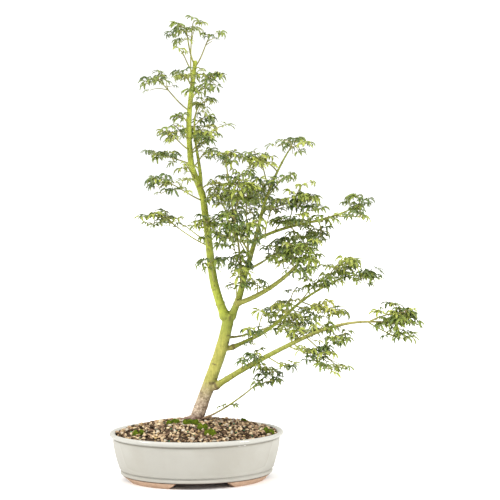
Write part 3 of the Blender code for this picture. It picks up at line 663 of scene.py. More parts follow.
def grain_mesh(seed, flatness):
    """A convex lump: the hull of a few points on a flattened ball of radius 0.5."""
    rng = random.Random(seed)
    shape = bmesh.new()
    for _ in range(GRAIN_POINTS):
        way = Vector((rng.gauss(0, 1), rng.gauss(0, 1), rng.gauss(0, 1))).normalized()
        way.z *= flatness
        way.y *= rng.uniform(0.75, 1.0)
        shape.verts.new(way * 0.5)
    bmesh.ops.convex_hull(shape, input=shape.verts)
    loose = [v for v in shape.verts if not v.link_faces]
    bmesh.ops.delete(shape, geom=loose, context="VERTS")
    return mesh_from(shape, "grain", outward=True)


grain_shapes = shape_store("grain", [grain_mesh(*row) for row in enumerate(FLATNESS)])

# %% A tree that scatters grains over a surface
TILT = 0.65  # radians that a grain may tip, since most lie flat
scatter_tree, entry, leave = new_tree(
    "scatter_grains",
    [("Grains", COLLECTION), ("Spacing", FLOAT), ("Per square metre", FLOAT), ("Smallest", FLOAT),
     ("Largest", FLOAT), ("Lift", FLOAT), ("Seed", INTEGER), ("Material", MATERIAL)],
)
seed = entry.outputs["Seed"]


def chance(kind, low, high):
    """A random number, or three of them, from one of the node's own pairs of inputs."""
    first = 2 if kind == "FLOAT" else 0
    inputs = {f"_{first}": low, f"_{first + 1}": high}
    dice = add_node(scatter_tree, "FunctionNodeRandomValue", {"data_type": kind}, Seed=seed, **inputs)
    return dice.outputs[first // 2]


spread = add_node(
    scatter_tree, "GeometryNodeDistributePointsOnFaces", {"distribute_method": "POISSON"},
    Mesh=entry.outputs[0], Distance_Min=entry.outputs["Spacing"],
    Density_Max=entry.outputs["Per square metre"], Seed=seed,
)
upward = add_node(scatter_tree, "ShaderNodeCombineXYZ", Z=chance("FLOAT", 0.0, entry.outputs["Lift"]))
lifted = add_node(
    scatter_tree, "GeometryNodeSetPosition", Geometry=spread.outputs["Points"], Offset=upward.outputs[0]
)
kinds = add_node(
    scatter_tree, "GeometryNodeCollectionInfo", Collection=entry.outputs["Grains"],
    Separate_Children=True, Reset_Children=True,
)
placed = add_node(
    scatter_tree, "GeometryNodeInstanceOnPoints", Points=lifted.outputs[0], Instance=kinds.outputs[0],
    Pick_Instance=True, Rotation=chance("FLOAT_VECTOR", (-TILT, -TILT, -math.pi), (TILT, TILT, math.pi)),
    Scale=chance("FLOAT", entry.outputs["Smallest"], entry.outputs["Largest"]),
)
end_tree(scatter_tree, entry, leave, placed.outputs[0])

# %% Scatter the grit


def soil_surface(lift, inset):
    """The mound's top as an open mesh, for scattering on."""
    reach = inner_wall(SOIL_EDGE) - inset
    shape = bmesh.new()
    bmesh.ops.create_circle(shape, cap_ends=True, radius=reach * MM, segments=64)
    bmesh.ops.poke(shape, faces=shape.faces)
    bmesh.ops.subdivide_edges(shape, edges=shape.edges, cuts=5, use_grid_fill=True)
    for vertex in shape.verts:
        x, y = vertex.co.x / MM, vertex.co.y / MM * WIDTH_RATIO
        vertex.co = spot(x, y, soil_height(x, y) + lift)
    return mesh_from(shape, "soil_surface")


# name, light, dark, spacing, per square metre, smallest, largest (mm)
GRITS = (
    ("tan", (0.47, 0.33, 0.20), (0.25, 0.17, 0.11), 4.8, 12500, 4.4, 9.0),
    ("brown", (0.19, 0.12, 0.075), (0.080, 0.048, 0.026), 4.6, 12500, 4.0, 8.6),
    ("pale", (0.74, 0.60, 0.39), (0.49, 0.37, 0.22), 5.4, 9800, 3.6, 8.9),
    ("ochre", (0.46, 0.33, 0.16), (0.33, 0.22, 0.09), 7.0, 4500, 3.0, 7.0),
    ("dark", (0.065, 0.042, 0.020), (0.026, 0.017, 0.009), 4.8, 10500, 3.6, 8.0),
    ("grey", (0.54, 0.48, 0.38), (0.34, 0.29, 0.22), 8.6, 2800, 4.4, 9.8),
    ("teal", (0.06, 0.17, 0.09), (0.03, 0.10, 0.05), 12.0, 1000, 3.4, 6.0),
)
GRIT_SINK, GRIT_INSET, GRIT_LIFT = -1.6, 2.6, 2.6  # mm, and how far the top grains are piled up
FIRST_SEED = 11
for number, (label, light, dark, spacing, density, smallest, largest) in enumerate(GRITS):
    name = f"grit_{label}"
    stone = mottled_material(name, 0.85, light, dark, 9.0, bump=(0.8, 0.3, 0.5), specular=0.15)
    settings = {
        "Grains": grain_shapes, "Spacing": spacing * MM, "Per square metre": float(density),
        "Smallest": smallest * MM, "Largest": largest * MM, "Lift": GRIT_LIFT * MM,
        "Seed": FIRST_SEED + number, "Material": stone,
    }
    finish_piece(run_tree(name, soil_surface(GRIT_SINK, GRIT_INSET), scatter_tree, settings), "soil")

# %% [markdown]
# Moss grows in small cushions round the foot of the trunk. A cushion is a low dome bristling
# with short shoots. The same scatter covers each dome with blades of three faces.

# %% Moss
MOSS = (  # middle of each patch (mm), its half length and half width, tufts in it
    (-43, -4, 9, 6, 8), (-13, -14, 11, 7, 12), (3, -52, 9, 7, 9), (17, -78, 9, 6, 8), (-106, -42, 14, 7, 6),
    (124, -34, 10, 7, 6), (92, 34, 7, 5, 3),
)
TUFT_RADIUS, TUFT_RISE, TUFT_SINK = (3.5, 5.8), 1.25, 0.4  # mm, share of the radius, mm
MOSS_SEED = 3
DOME_STEPS, DOME_RINGS = 12, 8
moss_green = mottled_material(
    "moss_green", 0.9, (0.10, 0.14, 0.010), (0.035, 0.06, 0.004), 5.0, bump=(0.6, 0.4, 0.8), specular=0.1
)
moss_light = mottled_material(
    "moss_tips", 0.85, (0.24, 0.30, 0.015), (0.035, 0.07, 0.004), 8.0, specular=0.1
)


def dome_rings(shape, u, v, radius):
    """Rings of points of one dome, from its foot up. The scatter needs them in a fixed order."""
    for level in range(DOME_RINGS + 1):
        rise = math.pi * (level / DOME_RINGS - 0.5)
        steps = 1 if level in (0, DOME_RINGS) else DOME_STEPS
        ring = []
        for i in range(steps):
            turn = 2 * math.pi * i / steps
            out = Vector((math.cos(turn), math.sin(turn), 0))
            p = (out * math.cos(rise) + Z_AXIS * math.sin(rise)) * radius
            p *= 1 + 0.25 * noise.noise(p * 0.5 + Vector((u, v, 0)))
            place = spot(u + p.x, v + p.y, soil_height(u, v) - TUFT_SINK + p.z * TUFT_RISE)
            ring.append(shape.verts.new(place))
        yield ring * (DOME_STEPS // steps)


def moss_domes():
    """Patches of small domes, crowded towards the middle of each patch."""
    rng = random.Random(MOSS_SEED)
    shape = bmesh.new()
    for x, y, half_length, half_width, count in MOSS:
        for _ in range(count):
            turn, away = rng.uniform(0, 2 * math.pi), math.sqrt(rng.random())
            u, v = x + away * half_length * math.cos(turn), y + away * half_width * math.sin(turn)
            skin_rings(shape, list(dome_rings(shape, u, v, rng.uniform(*TUFT_RADIUS))))
    return mesh_from(shape, "moss_domes", smooth=True)


domes = moss_domes()
moss = new_object("moss_cushions", domes)
moss.data.materials.append(moss_green)
shape = bmesh.new()
bmesh.ops.create_cone(shape, cap_ends=False, segments=3, radius1=0.16, radius2=0.02, depth=1.0)
shoot_settings = {
    "Grains": shape_store("moss_shoot", [mesh_from(shape, "moss_shoot")]), "Spacing": 0.55 * MM,
    "Per square metre": 1500000.0, "Smallest": 1.2 * MM, "Largest": 2.4 * MM, "Lift": 0.4 * MM,
    "Seed": 4, "Material": moss_light,
}
shoots = run_tree("moss_shoots", domes.copy(), scatter_tree, shoot_settings)
finish_piece(moss, "foliage")
finish_piece(shoots, "foliage")

# %% [markdown]
# ## Trunk and boughs
#
# Each limb is a tapering tube along a Bezier curve, the same curves that the solids follow. On a
# real tree a bough grows out of its parent with a collar of wood, and the two are one skin. The
# tubes are therefore remeshed together into one surface, which fills each fork with a smooth web.
# Bark relief is then pushed out along the normals, point by point.

# %% Limbs
# name, parent, start, reach, handle at the start, handle at the tip (mm), radius at the start
# and at the tip (mm), how early the taper comes
LIMBS = (
    ("trunk", None, (-3, 24, 88), (62, -24, 211), (20, -8, 70), (8, -5, 70), 13.5, 10.4, 0.5),
    ("leader", "trunk", (56, 0, 283), (-56, 20, 472), (-35, 9, 151), (29, 0, 155), 8.6, 3.8, 0.9),
    ("right_stem", "trunk", (58, 0, 283), (112, 11, 310), (48, 2, 99), (61, 0, 93), 7.2, 1.6, 0.85),
    ("twin_shoot", "leader", (9, 13, 518), (-8, 18, 138), (5, 6, 46), (7, 4, 46), 3.8, 1.8, 0.8),
    ("inner_shoot", "right_stem", (80, -3, 347), (-27, -24, 204), (2, -10, 70), (-8, -9, 68), 2.6, 1.3, 0.8),
    ("bough_middle", "right_stem", (74, -4, 317), (99, -65, 73), (38, -22, 14), (26, -21, 31), 5.0, 3.2, 0.9),
    ("bough_upper", "right_stem", (109, 3, 431), (156, -50, 53), (48, -16, 30), (50, -17, 23), 3.5, 1.8, 0.8),
    ("bough_lower", "trunk", (54, 3, 233), (224, 19, 128), (87, 5, 18), (83, 5, 22), 4.2, 1.9, 0.8),
    ("bough_lowest", "trunk", (27, 10, 160), (295, -111, 129), (93, -36, 57), (115, -41, -6.5),
     6.0, 1.9, 1.0),
    ("bough_back_low", "trunk", (54, 7, 255), (88, 49, 12), (30, 14, -4), (28, 16, 6), 2.2, 1.5, 0.8),
    ("bough_back_high", "right_stem", (95, -1, 388), (4, 58, 74), (2, 24, 16), (0, 16, 30), 2.6, 1.6, 0.8),
    ("bough_front", "right_stem", (100, 0, 402), (-27, -56, 35), (-6, -24, 6), (-10, -16, 16), 2.4, 1.5, 0.8),
    ("basal_shoot", "trunk", (10, 12, 106), (105, -20, 70), (30, -6, 8), (28, -4, 26), 1.9, 1.3, 0.8),
)
SWAYS = {  # how far a limb sways to each side (mm), and in how many waves
    "leader": ((-7, 0, 0), 1.75),
    "right_stem": ((1.5, 2, 0), 2.5),
    "bough_lowest": ((0, 3, 1.5), 1.5),
    "bough_lower": ((0, 2, 1.5), 2),
}
KINKS = {"leader": ((0.485, 3.4), (0.60, -2.7))}  # share of the limb, how far it bends right there (mm)
KINK_WIDTH = 0.05  # share of the limb
GROUND = SOIL_EDGE + SOIL_MOUND


class Limb:
    """A tapering limb along a Bezier curve, which may sway from side to side."""

    def __init__(self, name, parent, start, reach, lead_out, lead_in, base, tip, taper):
        start, reach = spot(*start), Vector(reach) * MM
        self.name, self.parent = name, parent
        end = start + reach
        self.points = (start, start + Vector(lead_out) * MM, end - Vector(lead_in) * MM, end)
        self.base, self.tip, self.taper = base * MM, tip * MM, taper
        sway, self.waves = SWAYS.get(name, ((0, 0, 0), 0))
        self.sway, self.kinks = Vector(sway) * MM, KINKS.get(name, ())
        steps = [self.at(i / 100) for i in range(101)]
        self.length = sum((b - a).length for a, b in zip(steps, steps[1:]))

    def at(self, t):
        a, b, c, d = self.points
        u = 1 - t
        swing = math.sin(2 * math.pi * self.waves * t) * math.sqrt(max(0, u))
        kink = sum(far * MM * math.exp(-(((t - place) / KINK_WIDTH) ** 2)) for place, far in self.kinks)
        curve = a * u**3 + b * (3 * u * u * t) + c * (3 * u * t * t) + d * t**3
        return curve + self.sway * swing + Vector((kink, 0, 0))

    def along(self, t):
        return (self.at(min(1, t + 0.01)) - self.at(max(0, t - 0.01))).normalized()

    def radius(self, t):
        return self.base + (self.tip - self.base) * t**self.taper


limbs = {row[0]: Limb(*row) for row in LIMBS}
print("limbs:", {name: round(limb.length / MM) for name, limb in limbs.items()})

# %% Join the limbs into one skin
# bearing, length and radius of each surface root
SURFACE_ROOTS = ((186, 36, 5.4), (235, 25, 4.8), (300, 16, 4.6), (20, 13, 4.0), (100, 22, 5.0))
# share of the root's length, height over the ground (mm) and share of the radius
ROOT_ROUTE = ((0, 6, 1.1), (0.25, 3.5, 1.0), (0.55, 1.5, 0.75), (0.85, -2, 0.55), (1.15, -10, 0.35))
KNUCKLES = (  # limb, share of its length, bearing of the lump, its radius and how far it stands out
    ("trunk", 0.30, 20, 5.0, 8.0), ("trunk", 0.93, -80, 3.6, 6.5),
    ("leader", 0.16, 170, 3.2, 5.0), ("leader", 0.50, -40, 2.8, 3.4),
    ("right_stem", 0.10, 10, 2.6, 4.0), ("bough_lowest", 0.47, -90, 2.4, 2.8),
    ("bough_lower", 0.60, 90, 2.0, 2.2),
)
VOXEL = 1.0 * MM
COLLAR = 0.30  # share by which a limb swells where it leaves its parent
SAMPLE_STEP = 2.0 * MM
LIMB_SIDES = 24


def limb_path(limb):
    """Points and radii along a limb, swollen at its foot into the collar."""
    count = max(8, round(limb.length / SAMPLE_STEP))
    points, radii = [], []
    for i in range(count + 1):
        t = i / count
        radius = limb.radius(t)
        if limb.parent:
            span, around = t * limb.length, limbs[limb.parent].radius(0.7)
            radius += COLLAR * limb.base * math.exp(-((span / around - 1.0) ** 2) / 0.6)
            radius *= min(1.0, 0.7 + 0.3 * span / around)
        points.append(limb.at(t))
        radii.append(radius)
    return points, radii


def root_paths():
    """Each root leaves the trunk's foot, bends over and dives under the grit."""
    foot = limbs["trunk"].at(0.06)
    for turn, length, radius in SURFACE_ROOTS:
        out = Vector((math.cos(math.radians(turn)), math.sin(math.radians(turn)), 0))
        points = [
            Vector((foot.x, foot.y, (GROUND + up) * MM)) + out * length * share * MM
            for share, up, _ in ROOT_ROUTE
        ]
        yield points, [share * radius * MM for _, _, share in ROOT_ROUTE]


def bearing_on(limb, t, bearing):
    """A direction straight out from a limb: 0 is right, -90 faces the front."""
    axis = limb.along(t)
    side = axis.cross(Vector((0, -1, 0))).normalized()
    return Matrix.Rotation(math.radians(bearing), 3, axis) @ side


def knuckle_paths():
    for name, t, bearing, radius, out in KNUCKLES:
        limb = limbs[name]
        way = bearing_on(limb, t, bearing)
        centre = limb.at(t) + way * (out - radius * 0.4) * MM
        yield [centre - way * radius * MM, centre + way * 0.5 * radius * MM], [radius * MM, radius * 0.6 * MM]


THICK = (
    "trunk", "leader", "right_stem", "twin_shoot",
    "bough_middle", "bough_upper", "bough_lower", "bough_lowest",
)
paths = [limb_path(limbs[name]) for name in THICK] + list(root_paths()) + list(knuckle_paths())
bark, bark_tree, bark_shader = new_material("bark", roughness=0.55)
raw = run_tree("skin", curves_from(paths), tubes_tree, {"Sides": LIMB_SIDES, "Material": bark})
remesh = raw.modifiers.new("skin", "REMESH")
remesh.mode, remesh.voxel_size = "VOXEL", VOXEL
relax = raw.modifiers.new("relax", "SMOOTH")
relax.factor, relax.iterations = 0.5, 5
skin = plain_mesh(raw)
print("skin:", len(skin.vertices), "points")

# %% [markdown]
# Young maple bark is smooth and green with fine stripes along it and a ring at each bud. Only
# the old wood near the ground is brown and rough. So each point of the skin is told how old its
# wood is and how sunburnt, and the relief and the colour both follow that.

# %% Relief and age of the bark
NODE_SPACING = 34  # mm from one pair of buds to the next
samples = []
for name in THICK:
    limb = limbs[name]
    count = round(limb.length / SAMPLE_STEP)
    samples += [(name, i / count, limb.at(i / count)) for i in range(count + 1)]
finder = KDTree(len(samples))
for index, (_, _, point) in enumerate(samples):
    finder.insert(point, index)
finder.balance()


def wood_age(name, t, height):
    """1 where the bark is brown and rough, 0 where it is smooth and bright green."""
    if name == "trunk":
        return float(np.interp(height, (122, 180, 238, 282), (1.0, 0.42, 0.40, 0.20)))
    if name == "leader":
        return float(np.interp(t, (0, 0.09, 0.16, 0.3, 0.5), (0.05, 0.06, 0.12, 0.12, 0.03)))
    starts = {"right_stem": 0.24, "bough_middle": 0.30, "bough_lowest": 0.34, "twin_shoot": 0.06}
    start = starts.get(name, 0.20)
    return max(0.7 * start, start - 1.1 * t * start)


def sunburn(name, t):
    """How far the bark has turned straw-coloured."""
    burnt = {"bough_lowest": max(0.0, 1.5 * t - 0.55), "bough_upper": 0.25 * t, "bough_middle": 0.3}
    return burnt.get(name, 0.0)


def relief(place, name, t, limb, age):
    """How far the bark stands out at a point, in mm."""
    span = t * limb.length / MM
    stripes = noise.noise(Vector((place.x * 900, place.y * 900, place.z * 120)))
    plates = noise.noise(place * 260) + 0.6 * noise.noise(place * 620)
    lumps = noise.noise(place * 55)
    nearest = abs((span + NODE_SPACING / 2) % NODE_SPACING - NODE_SPACING / 2)
    ring = math.exp(-((nearest / 1.3) ** 2)) * (0 if name == "trunk" else 1)
    return 0.10 * stripes + 0.5 * age**2 * plates + 0.05 * limb.radius(t) / MM * lumps + 0.28 * ring


# %% Old cuts and wrinkles
SCARS = (  # limb, share of its length, bearing, half length and half height of an old cut (mm)
    ("trunk", 0.56, -118, 5.0, 1.4), ("trunk", 0.30, -140, 4.5, 3.0), ("trunk", 0.82, -60, 3.5, 1.2),
    ("trunk", 0.45, -50, 4.0, 1.2), ("trunk", 0.37, -12, 6.0, 4.0), ("trunk", 0.335, -30, 4.0, 1.6),
    ("trunk", 0.715, -12, 5.0, 3.4), ("trunk", 0.965, -85, 2.0, 5.0), ("trunk", 0.20, -70, 5.0, 1.8),
    ("leader", 0.13, -125, 3.5, 1.2), ("leader", 0.21, -50, 3.0, 1.0), ("leader", 0.31, -100, 3.0, 1.0),
    ("leader", 0.525, -75, 6.0, 2.2), ("leader", 0.60, -110, 3.0, 1.0), ("leader", 0.75, -70, 2.5, 1.0),
    ("leader", 0.88, -100, 2.5, 1.0),
    ("right_stem", 0.13, -80, 3.5, 1.2), ("right_stem", 0.24, -100, 3.0, 1.0),
    ("bough_middle", 0.45, -60, 2.5, 1.0), ("bough_middle", 0.72, -90, 2.5, 1.0),
    ("bough_lowest", 0.14, -90, 3.0, 1.2), ("bough_lowest", 0.30, -90, 2.5, 1.0),
    ("bough_lowest", 0.62, -70, 2.5, 1.0), ("bough_lower", 0.10, -90, 2.5, 1.2),
)
scar_places = []
for name, t, bearing, half_length, half_height in SCARS:
    limb = limbs[name]
    centre = limb.at(t) + bearing_on(limb, t, bearing) * limb.radius(t)
    scar_places.append((centre, limb.along(t), half_length * MM, half_height * MM))
collars = [
    (limbs[name].at(0), limbs[name].along(0.02), limbs[limbs[name].parent].radius(0.7))
    for name in ("bough_lowest", "bough_lower", "bough_middle", "bough_upper")
]


def scarred(place):
    """How dark the old cuts and the wrinkles under the boughs make the bark at a place."""
    dark = 0.0
    for centre, axis, half_length, half_height in scar_places:
        away = place - centre
        if away.length < 3 * half_length:
            up = away.dot(axis)
            along = (away - axis * up).length
            dark += math.exp(-((up / half_height) ** 2) - (along / half_length) ** 2)
    for centre, heading, reach in collars:
        away = place - centre
        if away.length < 3 * reach and away.dot(heading) > 0.3 * away.length:
            dark += 1.1 * math.exp(-(((away.length - 1.3 * reach) / (2.4 * MM)) ** 2))
    return min(1.0, 1.3 * dark * (0.75 + 0.7 * noise.noise(place * 700)))


# %% Mark every point of the skin
SUNNY = (turned_spot(-0.62, -0.75, 0.25) - turned_spot(0, 0, 0)).normalized()
SCAR_RISE = 0.35  # mm that an old cut stands out
SKIN_FLOOR = (GROUND - 6) * MM
marks = {"age": [], "burn": [], "scar": [], "shade": []}
moves = []
for vertex in skin.vertices:
    name, t, _ = samples[finder.find(vertex.co)[1]]
    limb = limbs[name]
    age = wood_age(name, t, vertex.co.z / MM)
    if limb.parent == "trunk":  # its own age counts from 8 mm off its foot, and alone past 22 mm
        own = min(1.0, max(0.0, t * limb.length / MM / 14 - 0.6))
        age = own * age + (1 - own) * wood_age("trunk", 0, vertex.co.z / MM)
    scar = scarred(vertex.co)
    marks["age"].append(age)
    marks["burn"].append(sunburn(name, t))
    marks["scar"].append(scar)
    # Painted shade: a point is marked darker the more it faces away from the key lamp (SUNNY).
    marks["shade"].append(min(1.0, max(0.0, (0.78 - vertex.normal.dot(SUNNY)) / 1.35)))
    moves.append((relief(vertex.co, name, t, limb, age) + SCAR_RISE * scar) * MM)
for vertex, move, normal in zip(skin.vertices, moves, [v.normal.copy() for v in skin.vertices]):
    vertex.co += normal * move
for label, values in marks.items():
    skin.attributes.new(label, "FLOAT", "POINT").data.foreach_set("value", values)
for vertex in skin.vertices:
    vertex.co.z = max(vertex.co.z, SKIN_FLOOR)
skin.shade_smooth()
skin.materials.clear()
skin.materials.append(bark)

# %% [markdown]
# The bark's colour runs along a ramp by age: bright yellow-green shoots, olive wood, and a
# tan-brown foot. Blotches, fine stripes and small pores darken it, old wood has a crust and cuts are
# brown. The sides turned away from the key lamp get a painted shade, darker and a deeper green.

# %% Bark colour
tree, shader = bark_tree, bark_shader
age = attribute(tree, "age")
ramp = add_node(tree, "ShaderNodeValToRGB", Fac=age)
BARK_RAMP = (
    (0.0, (0.47, 0.52, 0.060)), (0.05, (0.44, 0.49, 0.058)), (0.13, (0.33, 0.37, 0.048)),
    (0.22, (0.32, 0.355, 0.052)), (0.40, (0.46, 0.435, 0.095)),
    (0.62, (0.50, 0.43, 0.170)), (0.85, (0.54, 0.44, 0.280)), (1.0, (0.54, 0.42, 0.300)),
)
for position, _ in BARK_RAMP[1:-1]:
    ramp.color_ramp.elements.new(position)
for stop, (position, colour) in zip(ramp.color_ramp.elements, BARK_RAMP):
    stop.position, stop.color = position, (*colour, 1)
tone = mix(tree, attribute(tree, "burn"), ramp.outputs[0], (0.42, 0.36, 0.13))
tone = mix(tree, 0.55, tone, two_tones(tree, (1, 1, 1), (0.55, 0.56, 0.5), 9.0), "MULTIPLY")
place = own_place(tree)
lengthways = add_node(tree, "ShaderNodeMapping", Vector=place, Scale=(700, 700, 60))
stripe = add_node(tree, "ShaderNodeTexNoise", Vector=lengthways.outputs[0], Scale=1.0, Detail=2.0)
tone = mix(tree, fade(tree, stripe.outputs["Fac"], 0.45, 0.7, 0.0, 0.5), tone, (0.15, 0.17, 0.03))
old = fade(tree, age, 0.46, 0.9, 0.0, 0.85)
tone = mix(tree, old, tone, two_tones(tree, (0.74, 0.60, 0.46), (0.15, 0.092, 0.055), 4.4))
flat_cells = add_node(tree, "ShaderNodeMapping", Vector=place, Scale=(250, 250, 430))
pores = add_node(tree, "ShaderNodeTexVoronoi", Vector=flat_cells.outputs[0], Scale=1.0)
pore = fade(tree, pores.outputs["Distance"], 0.14, 0.32, 0.8, 0.0)
pore = calc(tree, "MULTIPLY", pore, fade(tree, age, 0.3, 0.75, 0.25, 1.0))
tone = mix(tree, pore, tone, (0.12, 0.085, 0.045))
tone = mix(tree, by_height(tree, GROUND + 15.0, GROUND + 1.0), tone, (0.15, 0.085, 0.065))
tone = mix(tree, calc(tree, "MULTIPLY", attribute(tree, "scar"), 0.85), tone, (0.10, 0.065, 0.03))
# Painted shade: the sides turned away from the key lamp are made darker and greener.
painted_shade_share = fade(tree, attribute(tree, "shade"), 0.12, 0.95, 0.0, 0.92)
tone = mix(tree, painted_shade_share, tone, mix(tree, old, (0.35, 0.42, 0.28), (0.27, 0.18, 0.13)), "MULTIPLY")
coat(tree, shader, tone, bump=(1.1, 0.35, 0.5), specular=0.3)

trunk_piece = new_object("trunk_and_boughs", skin)
finish_piece(trunk_piece, "bark", *THICK)

# %% [markdown]
# The thin shoots are too fine for the remesh, so they stay tubes with their own ripple of radius
# at each bud.

# %% Thin shoots
THIN = tuple(name for name in limbs if name not in THICK)
BUD_SPACING, BUD_SWELL, BUD_REACH = 28, 0.25, 1.6  # mm
SHOOT_SIDES = 12


def shoot_path(limb):
    points, radii = limb_path(limb)
    for i in range(len(radii)):
        span = i * limb.length / MM / (len(radii) - 1)
        nearest = abs((span + BUD_SPACING / 2) % BUD_SPACING - BUD_SPACING / 2)
        radii[i] += BUD_SWELL * MM * math.exp(-((nearest / BUD_REACH) ** 2))
    return points, radii


green_shoot, tree, shader = new_material("green_shoot", roughness=0.5)
tone = two_tones(tree, (0.32, 0.33, 0.06), (0.21, 0.19, 0.045), 14.0)
browned = mix(tree, by_height(tree, GROUND + 28.0, GROUND + 4.0), tone, (0.30, 0.19, 0.12))
coat(tree, shader, browned, bump=(1.2, 0.2, 0.4))
shoots = run_tree(
    "thin_shoots", curves_from([shoot_path(limbs[name]) for name in THIN]), tubes_tree,
    {"Sides": SHOOT_SIDES, "Material": green_shoot},
)
shoots.data.shade_smooth()
finish_piece(shoots, "bark", *THIN)

# %% [markdown]
# A ring of old bud scales marks every joint of a maple shoot, with a small bud on each side. One
# ring shape is placed along the limbs by the tree for copies, turned to the limb's heading and
# scaled to its radius.

# %% Bud rings


def bud_ring_mesh(ring_height, bud_size):
    """A thin ring of radius 1 about Z, with two pointed buds lying against the wood above it."""
    shape = bmesh.new()
    turns, section = 14, 5
    rings = []
    for i in range(turns):
        a = 2 * math.pi * i / turns
        out = Vector((math.cos(a), math.sin(a), 0))
        wave = 0.07 * math.sin(2 * a)
        corners = [2 * math.pi * k / section for k in range(section)]
        rings.append([
            shape.verts.new(
                out * (0.97 + 0.05 * math.cos(b)) + Z_AXIS * (ring_height * math.sin(b) + wave)
            )
            for b in corners
        ])
    skin_rings(shape, [*rings, rings[0]])
    for side in (-1, 1):
        made = bmesh.ops.create_icosphere(shape, subdivisions=1, radius=1)
        for vertex in made["verts"]:
            x, y, z = vertex.co
            x = side * (1.0 + 0.5 * bud_size * x)
            vertex.co = Vector((x, bud_size * y, 0.1 + bud_size * (1 + 1.5 * z)))
    return mesh_from(shape, "bud_ring", outward=True, smooth=True)


RING_KINDS = ((0.12, 0.26), (0.035, 0.14))  # height of the ring and size of its buds: thin and thick wood
ring_shapes = shape_store("bud_ring", [bud_ring_mesh(*kind) for kind in RING_KINDS])
THICK_WOOD = 3.0 * MM
LAST_RING = 0.985  # share of a limb past which a ring would hang over its tip
rows = []
for name, limb in limbs.items():
    if name == "trunk":
        continue
    spacing = NODE_SPACING if name in THICK else BUD_SPACING
    for k in range(1, int(limb.length / MM / spacing) + 1):
        t = k * spacing * MM / limb.length
        if t > LAST_RING:
            continue
        quarter_turns = Matrix.Rotation(k * math.pi / 2, 3, "Z").to_quaternion()
        turn = limb.along(t).to_track_quat("Z", "Y") @ quarter_turns
        radius = limb.radius(t)
        rows.append((limb.at(t), turn, radius * 1.02 + 0.12 * MM, 1 if radius > THICK_WOOD else 0))
bud_brown = mottled_material("bud_scales", 0.6, (0.24, 0.19, 0.06), (0.10, 0.07, 0.03), 4.0)
rings = run_tree("bud_rings", points_with(rows), copies_tree, {"Shapes": ring_shapes, "Material": bud_brown})
finish_piece(rings, "bark")

# %% [markdown]
# ## Leaves
#
# This maple has deeply cut leaves with five or seven narrow lobes that curl down like claws. A
# leaf is small and there are hundreds, so each shape has only some sixty faces. Every lobe is a
# folded strip with toothed edges along a spine that rises, arches over and hooks down. Nine
# shapes differ in curl, number of lobes and twist, which keeps the crown from looking stamped.

# %% Leaf shapes
LEAF_LENGTH = 21.0  # mm along the middle lobe, before it curls
WIDE_LOBES = ((-128, 0.40), (-84, 0.72), (-41, 0.94), (0, 1.0), (41, 0.94), (84, 0.72), (128, 0.40))
NARROW_LOBES = ((-100, 0.60), (-50, 0.90), (0, 1.0), (50, 0.90), (100, 0.60))
# share of the lobe's length, and half its width there, for a long lobe and one beside the stalk
STATIONS = ((0.12, 0.045), (0.37, 0.118), (0.63, 0.096), (0.84, 0.058))
SHORT_STATIONS = ((0.20, 0.060), (0.60, 0.100))
SPINE_STEPS = 4  # between one station and the next
TOOTH = 0.06  # how far the edge runs ahead of the rib, which points its teeth forward
LEAF_KINDS = (  # lobes, first rise and later curl in degrees, fold of the blade, seed
    (WIDE_LOBES, 22, 88, 0.7, 1), (WIDE_LOBES, 28, 108, 0.9, 2), (NARROW_LOBES, 16, 80, 0.75, 3),
    (WIDE_LOBES, 12, 62, 0.6, 4), (NARROW_LOBES, 26, 118, 1.0, 5), (WIDE_LOBES, 22, 98, 0.5, 6),
    (NARROW_LOBES, 18, 95, 0.8, 7), (WIDE_LOBES, 34, 112, 0.9, 8), (NARROW_LOBES, 10, 60, 0.6, 9),
)


def lobe_spine(swing, sweep, pitch, curl, reach, stations):
    """Places along a lobe that rises, arches over and hooks down, with the way it heads at each."""
    rows, point, last = [], Vector(), 0
    for share in stations:
        for k in range(SPINE_STEPS):
            t = last + (share - last) * (k + 0.5) / SPINE_STEPS
            level, up = swing + sweep * t, pitch - curl * t**1.3
            way = Vector((math.sin(level) * math.cos(up), math.cos(level) * math.cos(up), math.sin(up)))
            point = point + way * (reach * (share - last) / SPINE_STEPS)
        across = Vector((math.cos(level), -math.sin(level), 0))
        rows.append((point, way, across, across.cross(way)))
        last = share
    return rows


def leaf_mesh(lobes, rise_by, curl_by, fold, seed):
    """A leaf about 1 long along +Y with its upper face towards +Z, from its stalk at the origin."""
    rng = random.Random(seed)
    shape = bmesh.new()
    rib = shape.verts.layers.float.new("rib")
    heart = shape.verts.new((0, 0, 0))
    heart[rib] = 1
    for degrees, length in lobes:
        stations = STATIONS if length > 0.5 else SHORT_STATIONS
        reach = length * rng.uniform(0.85, 1.08)
        swing = math.radians(degrees + rng.uniform(-9, 9))
        sweep = math.radians(rng.uniform(-30, 30))
        pitch = math.radians(rise_by + rng.uniform(-14, 14))
        curl = math.radians(curl_by) * rng.uniform(0.65, 1.3)
        spine = lobe_spine(swing, sweep, pitch, curl, reach, [share for share, _ in stations] + [1.0])
        last = None
        for (_, half), (point, way, across, up) in zip(stations, spine):
            left, right = half * rng.uniform(0.6, 1.35), half * rng.uniform(0.6, 1.35)
            row = [
                shape.verts.new(point - across * left + way * TOOTH + up * fold * left),
                shape.verts.new(point),
                shape.verts.new(point + across * right + way * TOOTH + up * fold * right),
            ]
            row[1][rib] = 1
            if last:
                shape.faces.new((last[0], last[1], row[1], row[0]))
                shape.faces.new((last[1], last[2], row[2], row[1]))
            else:
                shape.faces.new((heart, row[1], row[0]))
                shape.faces.new((heart, row[2], row[1]))
            last = row
        tip = shape.verts.new(spine[-1][0])
        shape.faces.new((last[0], last[1], tip))
        shape.faces.new((last[1], last[2], tip))
    mesh = mesh_from(shape, "leaf", smooth=True)
    if mesh.polygons[0].normal.z < 0:
        mesh.flip_normals()
    return mesh


